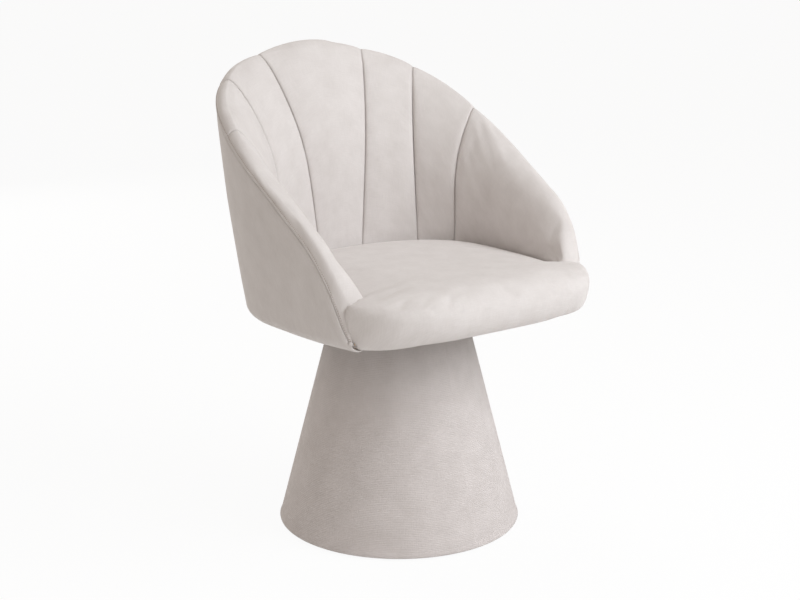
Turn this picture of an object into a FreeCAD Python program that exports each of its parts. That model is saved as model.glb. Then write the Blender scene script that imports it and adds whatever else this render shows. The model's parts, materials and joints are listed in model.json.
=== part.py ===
import FreeCAD, Part
import math
import os

import Sketcher
from FreeCAD import Placement, Rotation, Vector

# Pedestal swivel armchair: a channel-backed tub seat that turns on a covered cone.
# Millimetres. The origin is on the floor at the swivel axis, +Z is up and the chair faces -Y.

# Driving dimensions, each with its meaning
DIMENSIONS = [
    ("overall_height", 812, "floor to the crown of the back"),
    ("board_underside", 382, "floor to the underside of the seat board"),
    ("board_thickness", 15, "plywood seat board"),
    ("seat_line", 449, "height where the seat meets the padded walls"),
    ("seat_crown", 16.5, "rise of the seat's crown above the seat line"),
    ("tub_half_width", 266, "axis to the tub's side at the seat board's top"),
    ("width_flare", 14, "extra half width at full height"),
    ("back_depth", 245, "axis to the back at the seat board's top"),
    ("back_rake", 33, "extra back depth at full height"),
    ("back_bulge", 4, "outward bow of the back between its two ends"),
    ("back_low_power", 1.95, "superellipse power of the back at the seat board"),
    ("back_top_power", 3.0, "superellipse power of the back at full height"),
    ("front_depth", 280, "axis to the seat's front"),
    ("front_flare", 35, "extra reach of the arms' side curve at full height"),
    ("front_power", 3.7, "superellipse power of the front half"),
    ("side_wall", 48, "padded side walls' thickness at the seat"),
    ("back_wall", 78, "padded back's thickness at the seat"),
    ("inner_overrun", 50, "inner side curve's reach past the seat's front"),
    ("inner_back_power", 2.07, "superellipse power of the inner back"),
    ("inner_side_power", 3.0, "superellipse power of the inner sides"),
    ("rim_slope", 0.6, "fall of the rim for each millimetre forwards"),
    ("rim_crown", 22, "extra rise of the rim at the middle of the back"),
    ("crown_spread_angle", 26, "angle over which the rim's crown fades, degrees"),
    ("rim_thickness", 36, "padded thickness at the rim"),
    ("rim_roll", 16, "radius of the rim's rolled edge"),
    ("nose_reach", 198, "axis to the front of the arms"),
    ("nose_radius", 212, "radius of the rim's turn down at the front of the arms"),
    ("arm_end_height", 452, "top of the arm where it meets the seat's front"),
    ("edge_tuck", 12, "inward slope of the lower edge under the cover"),
    ("cover_thickness", 3, "outer fabric with its thin backing"),
    ("shell_thickness", 12, "moulded plywood shell"),
    ("shell_below_seam", 10, "shell's top edge below the rim seam"),
    ("pad_thickness", 8, "channel pads at their seams"),
    ("pad_tuck", 24, "depth of the channel pads below the seat line"),
    ("end_seam_height", 12, "rim seam above the seat board at the arm's front end"),
    ("end_blend", 60, "height over which the rim widens to the arm's full thickness"),
    ("bulge_seat", 1.5, "extra pad thickness mid channel at the seat"),
    ("bulge_middle", 9, "extra pad thickness mid channel halfway up"),
    ("bulge_rim", 2, "extra pad thickness mid channel over the rim"),
    ("seam_one_seat_angle", 15.4, "centre channel's seam at the seat, degrees"),
    ("seam_one_rim_angle", 23, "centre channel's seam at the rim, degrees"),
    ("seam_two_seat_angle", 48, "second seam at the seat, degrees"),
    ("seam_two_rim_angle", 43, "second seam at the rim, degrees"),
    ("seam_three_seat_angle", 66, "third seam at the seat, degrees"),
    ("seam_three_rim_angle", 67.5, "third seam at the rim, degrees"),
    ("bulge_run", 260, "height of wall that takes the full middle bulge"),
    ("least_bow", 0.4, "least bow of an arc over its chord"),
    ("soft_gap", 0.4, "gap between soft pieces and their neighbours"),
    ("seat_skin", 2.5, "seat cover with its wadding"),
    ("seat_edge_drop", 3, "start of the crown below the seat line along the walls"),
    ("front_tuck", 40, "inward curve of the seat's front under the lower edge"),
    ("front_bow_height", 430, "height of the seat's most forward line"),
    ("crown_width", 130, "width over which the seat's crown rises from the walls"),
    ("underside_cloth", 1, "thin cloth under the seat"),
    ("base_radius", 208, "cone's radius at the floor"),
    ("base_top_radius", 113, "cone's radius at its top"),
    ("base_top", 366, "height of the cone's top board"),
    ("base_cloth", 1.5, "cone's fabric"),
    ("base_wadding_thickness", 5, "padding between the fabric and the drum"),
    ("drum_wall", 4, "bent plywood wall of the cone"),
    ("base_board", 18, "thickness of the cone's two boards"),
    ("cover_return", 16, "fabric turned in over the boards' faces"),
    ("base_edge", 4, "rounding of the cone's lower edge"),
    ("ballast_inset", 58, "steel ballast plate's edge in from the cone's foot"),
    ("ballast_thickness", 8, "steel ballast plate"),
    ("rib_thickness", 15, "plywood ribs inside the cone"),
    ("rib_gap", 3, "ribs' ends clear of the drum"),
    ("lap_gap", 0.1, "play in the ribs' halving joint"),
    ("glide_height", 4, "floor glides"),
    ("glide_radius", 14, "floor glides"),
    ("glide_inset", 38, "glides' centres in from the cone's foot"),
    ("glide_count", 6, "floor glides"),
    ("pin_radius", 1.5, "nail through each glide"),
    ("pin_length", 14, "nail through each glide"),
    ("screw_radius", 2.5, "wood screws' shank"),
    ("screw_head_radius", 5, "wood screws' head"),
    ("screw_head_height", 3, "wood screws' countersunk head"),
    ("screw_grip", 30, "wood screws' length beyond the piece they hold down"),
    ("rib_screw_count", 4, "screws into the ends of the two crossed ribs"),
    ("low_screw_circle", 90, "screws into the ribs' lower ends"),
    ("top_screw_circle", 45, "screws into the ribs' upper ends"),
    ("hole_play", 0.1, "play of a hole round its screw or bolt"),
    ("plate_radius", 90, "swivel plates"),
    ("plate_thickness", 3, "swivel plates"),
    ("race_radius", 50, "ball circle of the swivel"),
    ("race_half_width", 6, "raised race of each plate"),
    ("race_height", 3, "raised race of each plate"),
    ("ball_radius", 3.5, "swivel balls"),
    ("ball_play", 0.05, "running play of the balls"),
    ("ball_count", 24, "swivel balls"),
    ("cage_thickness", 2, "ball cage"),
    ("cage_half_width", 4.6, "ball cage"),
    ("kingpin_radius", 10, "rivet that joins the two plates"),
    ("kingpin_flange", 4, "overhang of the kingpin's heads"),
    ("kingpin_head", 2, "thickness of the kingpin's heads"),
    ("kingpin_play", 0.05, "running play of the upper plate on the kingpin"),
    ("kingpin_lift", 0.3, "kingpin's upper head above the upper plate"),
    ("relief_radius", 20, "holes in the boards round the kingpin"),
    ("bolt_circle", 75, "bolts of the swivel plates"),
    ("bolt_radius", 3, "bolts of the swivel plates"),
    ("bolt_head_radius", 5.2, "bolts of the swivel plates"),
    ("bolt_head_height", 3.2, "bolts of the swivel plates"),
    ("bolt_length", 18, "bolts of the swivel plates"),
    ("bolt_count", 4, "bolts on each swivel plate"),
    ("nut_barrel_radius", 3.9, "tee nuts"),
    ("nut_barrel", 9, "tee nuts"),
    ("nut_flange_radius", 9.5, "tee nuts"),
    ("nut_flange", 1.2, "tee nuts"),
    ("block_depth", 18, "wooden blocks between the shell and the seat board"),
    ("block_length", 40, "wooden blocks, along the shell"),
    ("block_height", 25, "wooden blocks"),
]

os.makedirs("parts", exist_ok=True)
doc = FreeCAD.newDocument("swivel_armchair")
sheet = doc.addObject("Spreadsheet::Sheet", "sizes")
for row, (name, value, meaning) in enumerate(DIMENSIONS, 1):
    sheet.set(f"A{row}", name)
    sheet.set(f"B{row}", str(value))
    sheet.set(f"C{row}", meaning)
    sheet.setAlias(f"B{row}", name)
doc.recompute()


class Size:
    """A number from the sheet, or sums of them, kept with the expression that gives it."""

    def __init__(self, text, value):
        self.text = text
        self.value = float(value)

    def __float__(self):
        return self.value

    def join(self, sign, other, swap=False):
        pair = (other, self) if swap else (self, other)
        texts = [one.text if isinstance(one, Size) else repr(one) for one in pair]
        left, right = (float(one) for one in pair)
        value = {"+": left + right, "-": left - right, "*": left * right}.get(sign)
        if sign == "/":
            value = left / right
        return Size(f"({texts[0]} {sign} {texts[1]})", value)

    def __add__(self, other):
        return self.join("+", other)

    def __radd__(self, other):
        return self.join("+", other, swap=True)

    def __sub__(self, other):
        return self.join("-", other)

    def __rsub__(self, other):
        return self.join("-", other, swap=True)

    def __mul__(self, other):
        return self.join("*", other)

    def __rmul__(self, other):
        return self.join("*", other, swap=True)

    def __truediv__(self, other):
        return self.join("/", other)


class Sizes:
    """The sheet's numbers by name."""


s = Sizes()
for name, value, meaning in DIMENSIONS:
    setattr(s, name, Size(f"sizes.{name}", sheet.get(name)))

nodes = []


def bind(thing, **values):
    """Ties properties to the sheet; a double underscore stands for a dot."""
    for name, value in values.items():
        path = name.replace("__", ".")
        if isinstance(value, Size):
            thing.setExpression(path, value.text)
        else:
            thing.setExpression(path, repr(value))


# Turned and flat pieces, as bodies with bound sketches


def new_body(label):
    body = doc.addObject("PartDesign::Body", label)
    body.Label = label
    if hasattr(body, "AllowCompound"):
        body.AllowCompound = True
    nodes.append(body)
    return body


def origin_feature(body, role):
    return next(one for one in body.Origin.OriginFeatures if one.Role == role)


def sketch_on(body, role, name, out=0, up=0, aside=0):
    """A sketch on an origin plane, moved along its own axes and along its normal."""
    sketch = body.newObject("Sketcher::SketchObject", name)
    sketch.AttachmentSupport = (origin_feature(body, role), [""])
    sketch.MapMode = "FlatFace"
    bind(sketch, AttachmentOffset__Base__x=out, AttachmentOffset__Base__y=aside,
         AttachmentOffset__Base__z=up)
    return sketch


def place_point(sketch, edge, end, x, y, name):
    """Ties one end of a sketch edge to its distances from the sketch's origin."""
    for kind, value, axis in (("DistanceX", x, -2), ("DistanceY", y, -1)):
        if float(value) == 0:
            sketch.addConstraint(Sketcher.Constraint("PointOnObject", edge, end, axis))
            continue
        index = sketch.addConstraint(Sketcher.Constraint(kind, -1, 1, edge, end, float(value)))
        sketch.renameConstraint(index, f"{name}_{kind[-1]}")
        if isinstance(value, Size):
            sketch.setExpression(f"Constraints.{name}_{kind[-1]}", value.text)


def turned(body, name, points, out=0):
    """Revolves a closed profile of (radius, height) points round the vertical at the distance out."""
    sketch = sketch_on(body, "XZ_Plane", f"{name}_profile", out=out)
    corners = [Vector(float(x), float(y), 0) for x, y in points]
    count = len(corners)
    for index in range(count):
        sketch.addGeometry(Part.LineSegment(corners[index], corners[(index + 1) % count]), False)
    for index in range(count):
        sketch.addConstraint(Sketcher.Constraint("Coincident", index, 2, (index + 1) % count, 1))
    for index, (x, y) in enumerate(points):
        place_point(sketch, index, 1, x, y, f"corner{index}")
    feature = body.newObject("PartDesign::Revolution", name)
    feature.Profile = sketch
    feature.ReferenceAxis = (sketch, ["V_Axis"])
    feature.Angle = 360
    body.Tip = feature
    return feature


def ring_of(body, feature, count):
    """Repeats a feature evenly round the swivel axis."""
    pattern = body.newObject("PartDesign::PolarPattern", f"{feature.Name}_ring")
    pattern.Originals = [feature]
    pattern.Axis = (origin_feature(body, "Z_Axis"), [""])
    pattern.Angle = 360
    bind(pattern, Occurrences=count)
    body.Tip = pattern
    return pattern


def drilled(body, name, radius, top, depth, out=0, count=1, turn=0.0):
    """Cuts a round hole down from the height top, or a ring of them, and checks that it cut."""
    aside = out * math.sin(math.radians(turn))
    out = out * math.cos(math.radians(turn))
    doc.recompute()
    before = body.Shape.Volume
    sketch = sketch_on(body, "XY_Plane", f"{name}_circle", out=out, up=top, aside=aside)
    sketch.addGeometry(Part.Circle(Vector(0, 0, 0), Vector(0, 0, 1), float(radius)), False)
    sketch.addConstraint(Sketcher.Constraint("Coincident", 0, 3, -1, 1))
    index = sketch.addConstraint(Sketcher.Constraint("Radius", 0, float(radius)))
    sketch.renameConstraint(index, "radius")
    sketch.setExpression("Constraints.radius", radius.text)
    pocket = body.newObject("PartDesign::Pocket", name)
    pocket.Profile = sketch
    bind(pocket, Length=depth)
    body.Tip = pocket
    if float(count) > 1:
        ring_of(body, pocket, count)
    doc.recompute()
    cut = before - body.Shape.Volume
    expected = float(count) * math.pi * float(radius) ** 2
    if cut < expected * 0.5:
        raise SystemExit(f"{body.Label}: {name} cut only {cut:.1f} cubic mm")


# Heights and radii shared by the base and the swivel

cloth_top = s.glide_height + s.base_cloth
ballast_bottom = cloth_top + s.base_board
ribs_bottom = ballast_bottom + s.ballast_thickness
ribs_top = s.base_top - s.base_board
lower_plate_top = s.base_top + s.plate_thickness
upper_plate_bottom = s.board_underside - s.plate_thickness
race_middle = (lower_plate_top + upper_plate_bottom) / 2
board_top = s.board_underside + s.board_thickness
glide_circle = s.base_radius - s.glide_inset
ballast_radius = s.base_radius - s.ballast_inset


# The plates' bolts stand between the ribs
BOLT_TURN = 45.0


def cone_radius(height, inset):
    """The cone's radius at a height, set in from its outer face."""
    return s.base_radius - (s.base_radius - s.base_top_radius) * (height / s.base_top) - inset


wadding_inset = s.base_cloth
drum_inset = s.base_cloth + s.base_wadding_thickness
board_inset = drum_inset + s.drum_wall


def cone_wall(label, bottom, inset, thickness):
    """A thin conical wall from a height to the top board's face."""
    body = new_body(label)
    turned(body, f"{label}_wall", [
        (cone_radius(bottom, inset + thickness), bottom),
        (cone_radius(bottom, inset), bottom),
        (cone_radius(s.base_top, inset), s.base_top),
        (cone_radius(s.base_top, inset + thickness), s.base_top),
    ])
    return body


def cone_board(label, bottom, top):
    """A board that fills the drum between two heights."""
    body = new_body(label)
    turned(body, f"{label}_disc", [
        (0, bottom),
        (cone_radius(bottom, board_inset), bottom),
        (cone_radius(top, board_inset), top),
        (0, top),
    ])
    return body


# The cone: glides, underlay, boards, ballast, ribs, drum, padding and fabric

glides = new_body("floor_glides")
glide = turned(glides, "glide", [
    (s.pin_radius, 0),
    (s.glide_radius * 0.8, 0),
    (s.glide_radius, s.glide_height / 2),
    (s.glide_radius, s.glide_height),
    (s.pin_radius, s.glide_height),
], out=glide_circle)
ring_of(glides, glide, s.glide_count)

glide_nails = new_body("glide_nails")
nail = turned(glide_nails, "nail", [
    (0, s.glide_height / 2),
    (s.pin_radius, s.glide_height / 2),
    (s.pin_radius, s.glide_height / 2 + s.pin_length),
    (0, s.glide_height / 2 + s.pin_length),
], out=glide_circle)
ring_of(glide_nails, nail, s.glide_count)

return_radius = cone_radius(s.glide_height, s.base_edge + s.cover_return)
underlay = new_body("base_underlay")
turned(underlay, "underlay_disc", [
    (0, s.glide_height),
    (return_radius, s.glide_height),
    (return_radius, cloth_top),
    (0, cloth_top),
])
drilled(underlay, "underlay_nail_hole", s.pin_radius, cloth_top, s.base_cloth, glide_circle,
        s.glide_count)

bottom_board = cone_board("base_bottom_board", cloth_top, ballast_bottom)
drilled(bottom_board, "bottom_nail_hole", s.pin_radius, s.glide_height / 2 + s.pin_length,
        s.pin_length, glide_circle, s.glide_count)
drilled(bottom_board, "bottom_screw_hole", s.screw_radius + s.hole_play, ballast_bottom,
        s.base_board, s.low_screw_circle, s.rib_screw_count)
drilled(bottom_board, "bottom_head_hole", s.screw_head_radius + s.hole_play,
        cloth_top + s.screw_head_height, s.screw_head_height, s.low_screw_circle, s.rib_screw_count)

ballast = new_body("ballast_plate")
turned(ballast, "ballast_disc", [
    (0, ballast_bottom),
    (ballast_radius, ballast_bottom),
    (ballast_radius, ribs_bottom),
    (0, ribs_bottom),
])
drilled(ballast, "ballast_hole", s.screw_radius + s.hole_play, ribs_bottom, s.ballast_thickness,
        s.low_screw_circle, s.rib_screw_count)

top_board = cone_board("base_top_board", ribs_top, s.base_top)
drilled(top_board, "top_relief", s.relief_radius, s.base_top, s.base_board)
drilled(top_board, "top_bolt_hole", s.nut_barrel_radius + s.hole_play, s.base_top, s.base_board,
        s.bolt_circle, s.bolt_count, BOLT_TURN)
drilled(top_board, "top_screw_hole", s.screw_radius + s.hole_play, s.base_top, s.base_board,
        s.top_screw_circle, s.rib_screw_count)
drilled(top_board, "top_head_hole", s.screw_head_radius + s.hole_play, s.base_top,
        s.screw_head_height, s.top_screw_circle, s.rib_screw_count)

edge_top = s.glide_height + s.base_edge
cone_wall("base_drum", cloth_top, drum_inset, s.drum_wall)
cone_wall("base_wadding", edge_top + s.base_cloth, wadding_inset, s.base_wadding_thickness)

base_cover = new_body("base_cover")
cover_top = s.base_top + s.base_cloth
turned(base_cover, "cover_skin", [
    (return_radius, s.glide_height),
    (cone_radius(s.glide_height, s.base_edge), s.glide_height),
    (cone_radius(edge_top, 0), edge_top),
    (cone_radius(cover_top, s.base_cloth / 2), cover_top),
    (cone_radius(cover_top, s.cover_return), cover_top),
    (cone_radius(cover_top, s.cover_return), s.base_top),
    (cone_radius(s.base_top, s.base_cloth), s.base_top),
    (cone_radius(edge_top + s.base_cloth, s.base_cloth), edge_top + s.base_cloth),
    (cone_radius(cloth_top, s.base_edge + s.base_cloth), cloth_top),
    (return_radius, cloth_top),
])


def wood_screws(label, circle, under_head, length, upwards):
    """A ring of four countersunk screws; the head's flat lies at under_head."""
    body = new_body(label)
    sign = 1 if upwards else -1
    screw = turned(body, f"{label}_one", [
        (0, under_head),
        (s.screw_head_radius, under_head),
        (s.screw_radius, under_head + sign * s.screw_head_height),
        (s.screw_radius, under_head + sign * length),
        (0, under_head + sign * length),
    ], out=circle)
    ring_of(body, screw, s.rib_screw_count)
    return body


low_screw_length = s.base_board + s.ballast_thickness + s.screw_grip
top_screw_length = s.base_board + s.screw_grip
wood_screws("rib_screws_lower", s.low_screw_circle, cloth_top, low_screw_length, True)
wood_screws("rib_screws_upper", s.top_screw_circle, s.base_top, top_screw_length, False)


def rib(label, turn, slot_up):
    """A tapered rib through the cone's axis, halved into its twin at mid height."""
    body = doc.addObject("Part::Wedge", f"{label}_plank")
    low = cone_radius(ribs_bottom, board_inset + s.rib_gap)
    high = cone_radius(ribs_top, board_inset + s.rib_gap)
    half = s.rib_thickness / 2
    bind(body, Xmin=0 - low, Xmax=low, Ymin=ribs_bottom, Ymax=ribs_top, Zmin=0 - half, Zmax=half,
         X2min=0 - high, X2max=high, Z2min=0 - half, Z2max=half)
    body.Placement.Rotation = Rotation(Vector(1, 0, 0), 90)
    slot = doc.addObject("Part::Box", f"{label}_slot")
    middle = (ribs_bottom + ribs_top) / 2
    width = s.rib_thickness + 2 * s.lap_gap
    start = middle if slot_up else ribs_bottom
    bind(slot, Length=width, Width=width, Height=ribs_top - middle, Placement__Base__x=0 - width / 2,
         Placement__Base__y=0 - width / 2, Placement__Base__z=start)
    tools = [slot]
    for circle, top, depth in ((s.low_screw_circle, ribs_bottom + s.screw_grip, s.screw_grip),
                               (s.top_screw_circle, ribs_top, s.screw_grip)):
        for side in (-1, 1):
            hole = doc.addObject("Part::Cylinder", f"{label}_pilot")
            bind(hole, Radius=s.screw_radius + s.hole_play, Height=depth,
                 Placement__Base__x=side * circle, Placement__Base__z=top - depth)
            tools.append(hole)
    tool = doc.addObject("Part::Compound", f"{label}_tools")
    tool.Links = tools
    cut = doc.addObject("Part::Cut", label)
    cut.Base = body
    cut.Tool = tool
    cut.Placement.Rotation = Rotation(Vector(0, 0, 1), turn)
    cut.Label = label
    nodes.append(cut)


rib("rib_side", 0, True)
rib("rib_front_back", 90, False)

# The swivel: two plates with ball races, balls in a cage, the kingpin, bolts and tee nuts


def swivel_plate(label, bottom, race_bottom):
    """A round plate with a raised race, grooved for the balls, and bolt holes."""
    body = new_body(label)
    inner = s.race_radius - s.race_half_width
    outer = s.race_radius + s.race_half_width
    hole = s.kingpin_radius
    if label == "swivel_upper_plate":
        hole = s.kingpin_radius + s.kingpin_play
    turned(body, f"{label}_disc", [
        (hole, bottom),
        (s.plate_radius, bottom),
        (s.plate_radius, bottom + s.plate_thickness),
        (hole, bottom + s.plate_thickness),
    ])
    turned(body, f"{label}_race", [
        (inner, race_bottom),
        (outer, race_bottom),
        (outer, race_bottom + s.race_height),
        (inner, race_bottom + s.race_height),
    ])
    doc.recompute()
    before = body.Shape.Volume
    ring = sketch_on(body, "XZ_Plane", f"{label}_groove_circle")
    radius = s.ball_radius + s.ball_play
    centre = Vector(float(s.race_radius), float(race_middle), 0)
    ring.addGeometry(Part.Circle(centre, Vector(0, 0, 1), float(radius)), False)
    place_point(ring, 0, 3, s.race_radius, race_middle, "centre")
    index = ring.addConstraint(Sketcher.Constraint("Radius", 0, float(radius)))
    ring.renameConstraint(index, "radius")
    ring.setExpression("Constraints.radius", radius.text)
    groove = body.newObject("PartDesign::Groove", f"{label}_groove")
    groove.Profile = ring
    groove.ReferenceAxis = (ring, ["V_Axis"])
    groove.Angle = 360
    body.Tip = groove
    doc.recompute()
    if before - body.Shape.Volume < 1:
        raise SystemExit(f"{label}: the ball groove cut nothing")
    drilled(body, f"{label}_bolt_hole", s.bolt_radius + s.hole_play, bottom + s.plate_thickness,
            s.plate_thickness, s.bolt_circle, s.bolt_count, BOLT_TURN)
    return body


swivel_plate("swivel_lower_plate", s.base_top, lower_plate_top)
swivel_plate("swivel_upper_plate", upper_plate_bottom, upper_plate_bottom - s.race_height)

kingpin = new_body("swivel_kingpin")
pin_low = s.base_top - s.kingpin_head
pin_high = s.board_underside + s.kingpin_lift
flange = s.kingpin_radius + s.kingpin_flange
turned(kingpin, "kingpin_rivet", [
    (0, pin_low),
    (flange, pin_low),
    (flange, s.base_top),
    (s.kingpin_radius, s.base_top),
    (s.kingpin_radius, pin_high),
    (flange, pin_high),
    (flange, pin_high + s.kingpin_head),
    (0, pin_high + s.kingpin_head),
])

cage = new_body("ball_cage")
turned(cage, "cage_ring", [
    (s.race_radius - s.cage_half_width, race_middle - s.cage_thickness / 2),
    (s.race_radius + s.cage_half_width, race_middle - s.cage_thickness / 2),
    (s.race_radius + s.cage_half_width, race_middle + s.cage_thickness / 2),
    (s.race_radius - s.cage_half_width, race_middle + s.cage_thickness / 2),
])
drilled(cage, "cage_pocket", s.ball_radius + s.ball_play, race_middle + s.cage_thickness / 2,
        s.cage_thickness, s.race_radius, s.ball_count)

balls = []
for index in range(int(float(s.ball_count))):
    ball = doc.addObject("Part::Sphere", "ball")
    turn = f"({index} * 360 / sizes.ball_count)"
    bind(ball, Radius=s.ball_radius, Placement__Base__z=race_middle)
    ball.setExpression("Placement.Base.x", f"sizes.race_radius * cos({turn})")
    ball.setExpression("Placement.Base.y", f"sizes.race_radius * sin({turn})")
    balls.append(ball)
bearing_balls = doc.addObject("Part::Compound", "bearing_balls")
bearing_balls.Links = balls
bearing_balls.Label = "bearing_balls"
nodes.append(bearing_balls)


def plate_bolts(label, seat_face, upwards):
    """A ring of button-head bolts whose heads sit on seat_face."""
    body = new_body(label)
    sign = 1 if upwards else -1
    bolt = turned(body, f"{label}_one", [
        (0, seat_face - sign * s.bolt_head_height),
        (s.bolt_head_radius * 0.7, seat_face - sign * s.bolt_head_height),
        (s.bolt_head_radius, seat_face),
        (s.bolt_radius, seat_face),
        (s.bolt_radius, seat_face + sign * s.bolt_length),
        (0, seat_face + sign * s.bolt_length),
    ], out=s.bolt_circle)
    ring_of(body, bolt, s.bolt_count)
    body.Placement.Rotation = Rotation(Vector(0, 0, 1), BOLT_TURN)


def tee_nuts(label, face, upwards):
    """A ring of tee nuts: the flange lies on the board's face and the barrel goes into it."""
    body = new_body(label)
    sign = 1 if upwards else -1
    bore = s.bolt_radius + s.hole_play / 2
    nut = turned(body, f"{label}_one", [
        (bore, face - sign * s.nut_flange),
        (s.nut_flange_radius, face - sign * s.nut_flange),
        (s.nut_flange_radius, face),
        (s.nut_barrel_radius, face),
        (s.nut_barrel_radius, face + sign * s.nut_barrel),
        (bore, face + sign * s.nut_barrel),
    ], out=s.bolt_circle)
    ring_of(body, nut, s.bolt_count)
    body.Placement.Rotation = Rotation(Vector(0, 0, 1), BOLT_TURN)


plate_bolts("lower_bolts", lower_plate_top, False)
tee_nuts("lower_tee_nuts", ribs_top, True)
plate_bolts("upper_bolts", upper_plate_bottom, True)
tee_nuts("upper_tee_nuts", board_top, False)

# The tub's outline at any height, as superellipses

TOP = float(s.overall_height)
BOARD_TOP = float(board_top)
UNDERSIDE = float(s.board_underside)
SEAT_LINE = float(s.seat_line)
ROLL = float(s.rim_roll)
RIM = float(s.rim_thickness)
GAP = float(s.soft_gap)
LEAST_BOW = float(s.least_bow)
UP = Vector(0, 0, 1)

# The arm's straight rim ends at this share of its run
STRAIGHT = 0.4


def level(x, y, half, back, front, back_power, front_power):
    """Below 1 inside a superellipse with separate back and front halves."""
    depth, power = (back, back_power) if y >= 0 else (front, front_power)
    return (abs(x) / half) ** power + (abs(y) / depth) ** power


def outer_level(x, y, z, inset):
    rise = (z - BOARD_TOP) / (TOP - BOARD_TOP)
    half = float(s.tub_half_width) + float(s.width_flare) * rise
    back = float(s.back_depth) + float(s.back_rake) * rise
    back += 4 * float(s.back_bulge) * rise * (1 - rise)
    front = float(s.front_depth) + float(s.front_flare) * max(0, z - SEAT_LINE) / (TOP - SEAT_LINE)
    low, high = float(s.back_low_power), float(s.back_top_power)
    power = low + (high - low) * rise
    return level(x, y, half - inset, back - inset, front - inset, power, float(s.front_power))


def inner_level(x, y, inset):
    half = float(s.tub_half_width - s.side_wall) - inset
    back = float(s.back_depth - s.back_wall) - inset
    front = float(s.front_depth + s.inner_overrun) - inset
    return level(x, y, half, back, front, float(s.inner_back_power), float(s.inner_side_power))


def solve(test):
    """The distance at which a growing test reaches 1."""
    low, high = 0.0, 2 * TOP
    for _ in range(50):
        middle = (low + high) / 2
        if test(middle) < 1:
            low = middle
        else:
            high = middle
    return low


class Station:
    """An upright or leaning plane across the padded wall, in which one section is drawn.

    out points away from the seat and along runs along the wall. The plane crosses the wall at the
    distance low along it at the seat board's top, and at the distance high at the rim's height.
    """

    def __init__(self, out, along, low, high, rim, drop, bulge=0.0):
        self.out = out
        self.along = along
        self.low = low
        self.high = high
        self.rim = rim
        self.drop = drop
        self.bulge = bulge

    def shift(self, z):
        return self.low + (self.high - self.low) * (z - BOARD_TOP) / (self.rim - BOARD_TOP)

    def point(self, reach, z):
        return self.out * reach + self.along * self.shift(z) + UP * z

    def outer(self, z, inset=0.0):
        start = self.along * self.shift(z)

        def test(reach):
            spot = start + self.out * reach
            return outer_level(spot.x, spot.y, z, inset)
        return solve(test)

    def inner(self, z, inset=0.0):
        start = self.along * self.shift(z)

        def test(reach):
            spot = start + self.out * reach
            return inner_level(spot.x, spot.y, inset)
        return solve(test)


def rim_height(depth, angle):
    """The rim's height where its outer face is depth behind the axis, angle off the back."""
    slope, crown = float(s.rim_slope), float(s.rim_crown)
    top = TOP - float(s.bulge_rim)
    middle = top - crown - slope * (float(s.back_depth) + float(s.back_rake))
    return middle + slope * depth + crown * math.exp(-(angle / float(s.crown_spread_angle)) ** 2)


def rim_drop(steepness):
    """The rolled edge's height, measured upright, where the rim falls steeply."""
    return ROLL * math.hypot(1, steepness)


def back_station(low_angle, high_angle, bulge=0.0):
    """A plane across the back, between an angle at the seat line and one at the rim."""
    middle = math.radians((low_angle + high_angle) / 2)
    half = math.radians((high_angle - low_angle) / 2)
    out = Vector(math.sin(middle), math.cos(middle), 0)
    along = Vector(math.cos(middle), -math.sin(middle), 0)
    rim = TOP
    for _ in range(12):
        flat = Station(out, along, 0, 0, rim, ROLL)
        reach = flat.outer(rim - ROLL)
        rim = rim_height(reach * math.cos(math.radians(high_angle)), high_angle)
    high = reach * math.tan(half)
    seat = -flat.inner(SEAT_LINE) * math.tan(half)
    low = high + (seat - high) * (rim - BOARD_TOP) / (rim - SEAT_LINE)
    return Station(out, along, low, high, rim, ROLL, bulge)


def nose_centre():
    """The centre, in side view, of the rim's turn down at the front of the arms."""
    reach = float(s.nose_radius) - float(s.nose_reach)
    slope = float(s.rim_slope)
    fall = float(s.nose_radius) * math.hypot(1, slope)
    return reach, rim_height(reach, 180) - fall


def side_station(side, place, bulge=0.0):
    """A plane across an arm; place runs from 0 at the axis to 1 at the arm's front end."""
    centre_y, centre_z = nose_centre()
    radius, slope = float(s.nose_radius), float(s.rim_slope)
    start_angle = math.atan2(1, slope)
    end_angle = math.asin((float(s.arm_end_height) - centre_z) / radius)
    start_y = centre_y - radius * math.cos(start_angle)
    if place < STRAIGHT:
        rim_y = start_y * place / STRAIGHT
        rim = rim_height(rim_y, 180)
        steepness = slope
    else:
        turn = (place - STRAIGHT) / (1 - STRAIGHT)
        angle = start_angle + (end_angle - start_angle) * turn
        rim_y = centre_y - radius * math.cos(angle)
        rim = centre_z + radius * math.sin(angle)
        steepness = 1 / math.tan(angle)
    low = -float(s.nose_reach) * place
    out, along = Vector(side, 0, 0), Vector(0, 1, 0)
    drop = min(rim_drop(steepness), rim - BOARD_TOP - float(s.end_seam_height))
    blend = min(1, place / STRAIGHT)
    drop = ROLL + (drop - ROLL) * blend
    return Station(out, along, low, rim_y, rim, drop, bulge)


def wire_of(points, arcs):
    """A closed wire; arcs maps a point's index to the middle point of the arc that leaves it."""
    edges = []
    for index, start in enumerate(points):
        end = points[(index + 1) % len(points)]
        if index in arcs:
            edges.append(Part.Arc(start, arcs[index], end).toShape())
        else:
            edges.append(Part.LineSegment(start, end).toShape())
    return Part.Wire(edges)


def quarter(station, centre, reach, rise, height):
    """The middle point of a quarter turn round a centre reach, measured out and up."""
    return station.point(centre + reach * math.cos(math.pi / 4), height + rise * math.sin(math.pi / 4))


def rim_thickness_at(station, reach):
    """The wall's thickness at the rim, which grows where the arm comes down to the seat."""
    blend = 1 - (station.rim - ROLL - SEAT_LINE) / float(s.end_blend)
    blend = max(0.0, min(1.0, blend))
    return RIM + (max(reach - station.inner(SEAT_LINE), RIM) - RIM) * blend


def bowed(reach, start, end):
    """A reach at mid height, kept off the chord so that an arc can pass through it."""
    return max(reach, (start + end) / 2 + LEAST_BOW)


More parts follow.
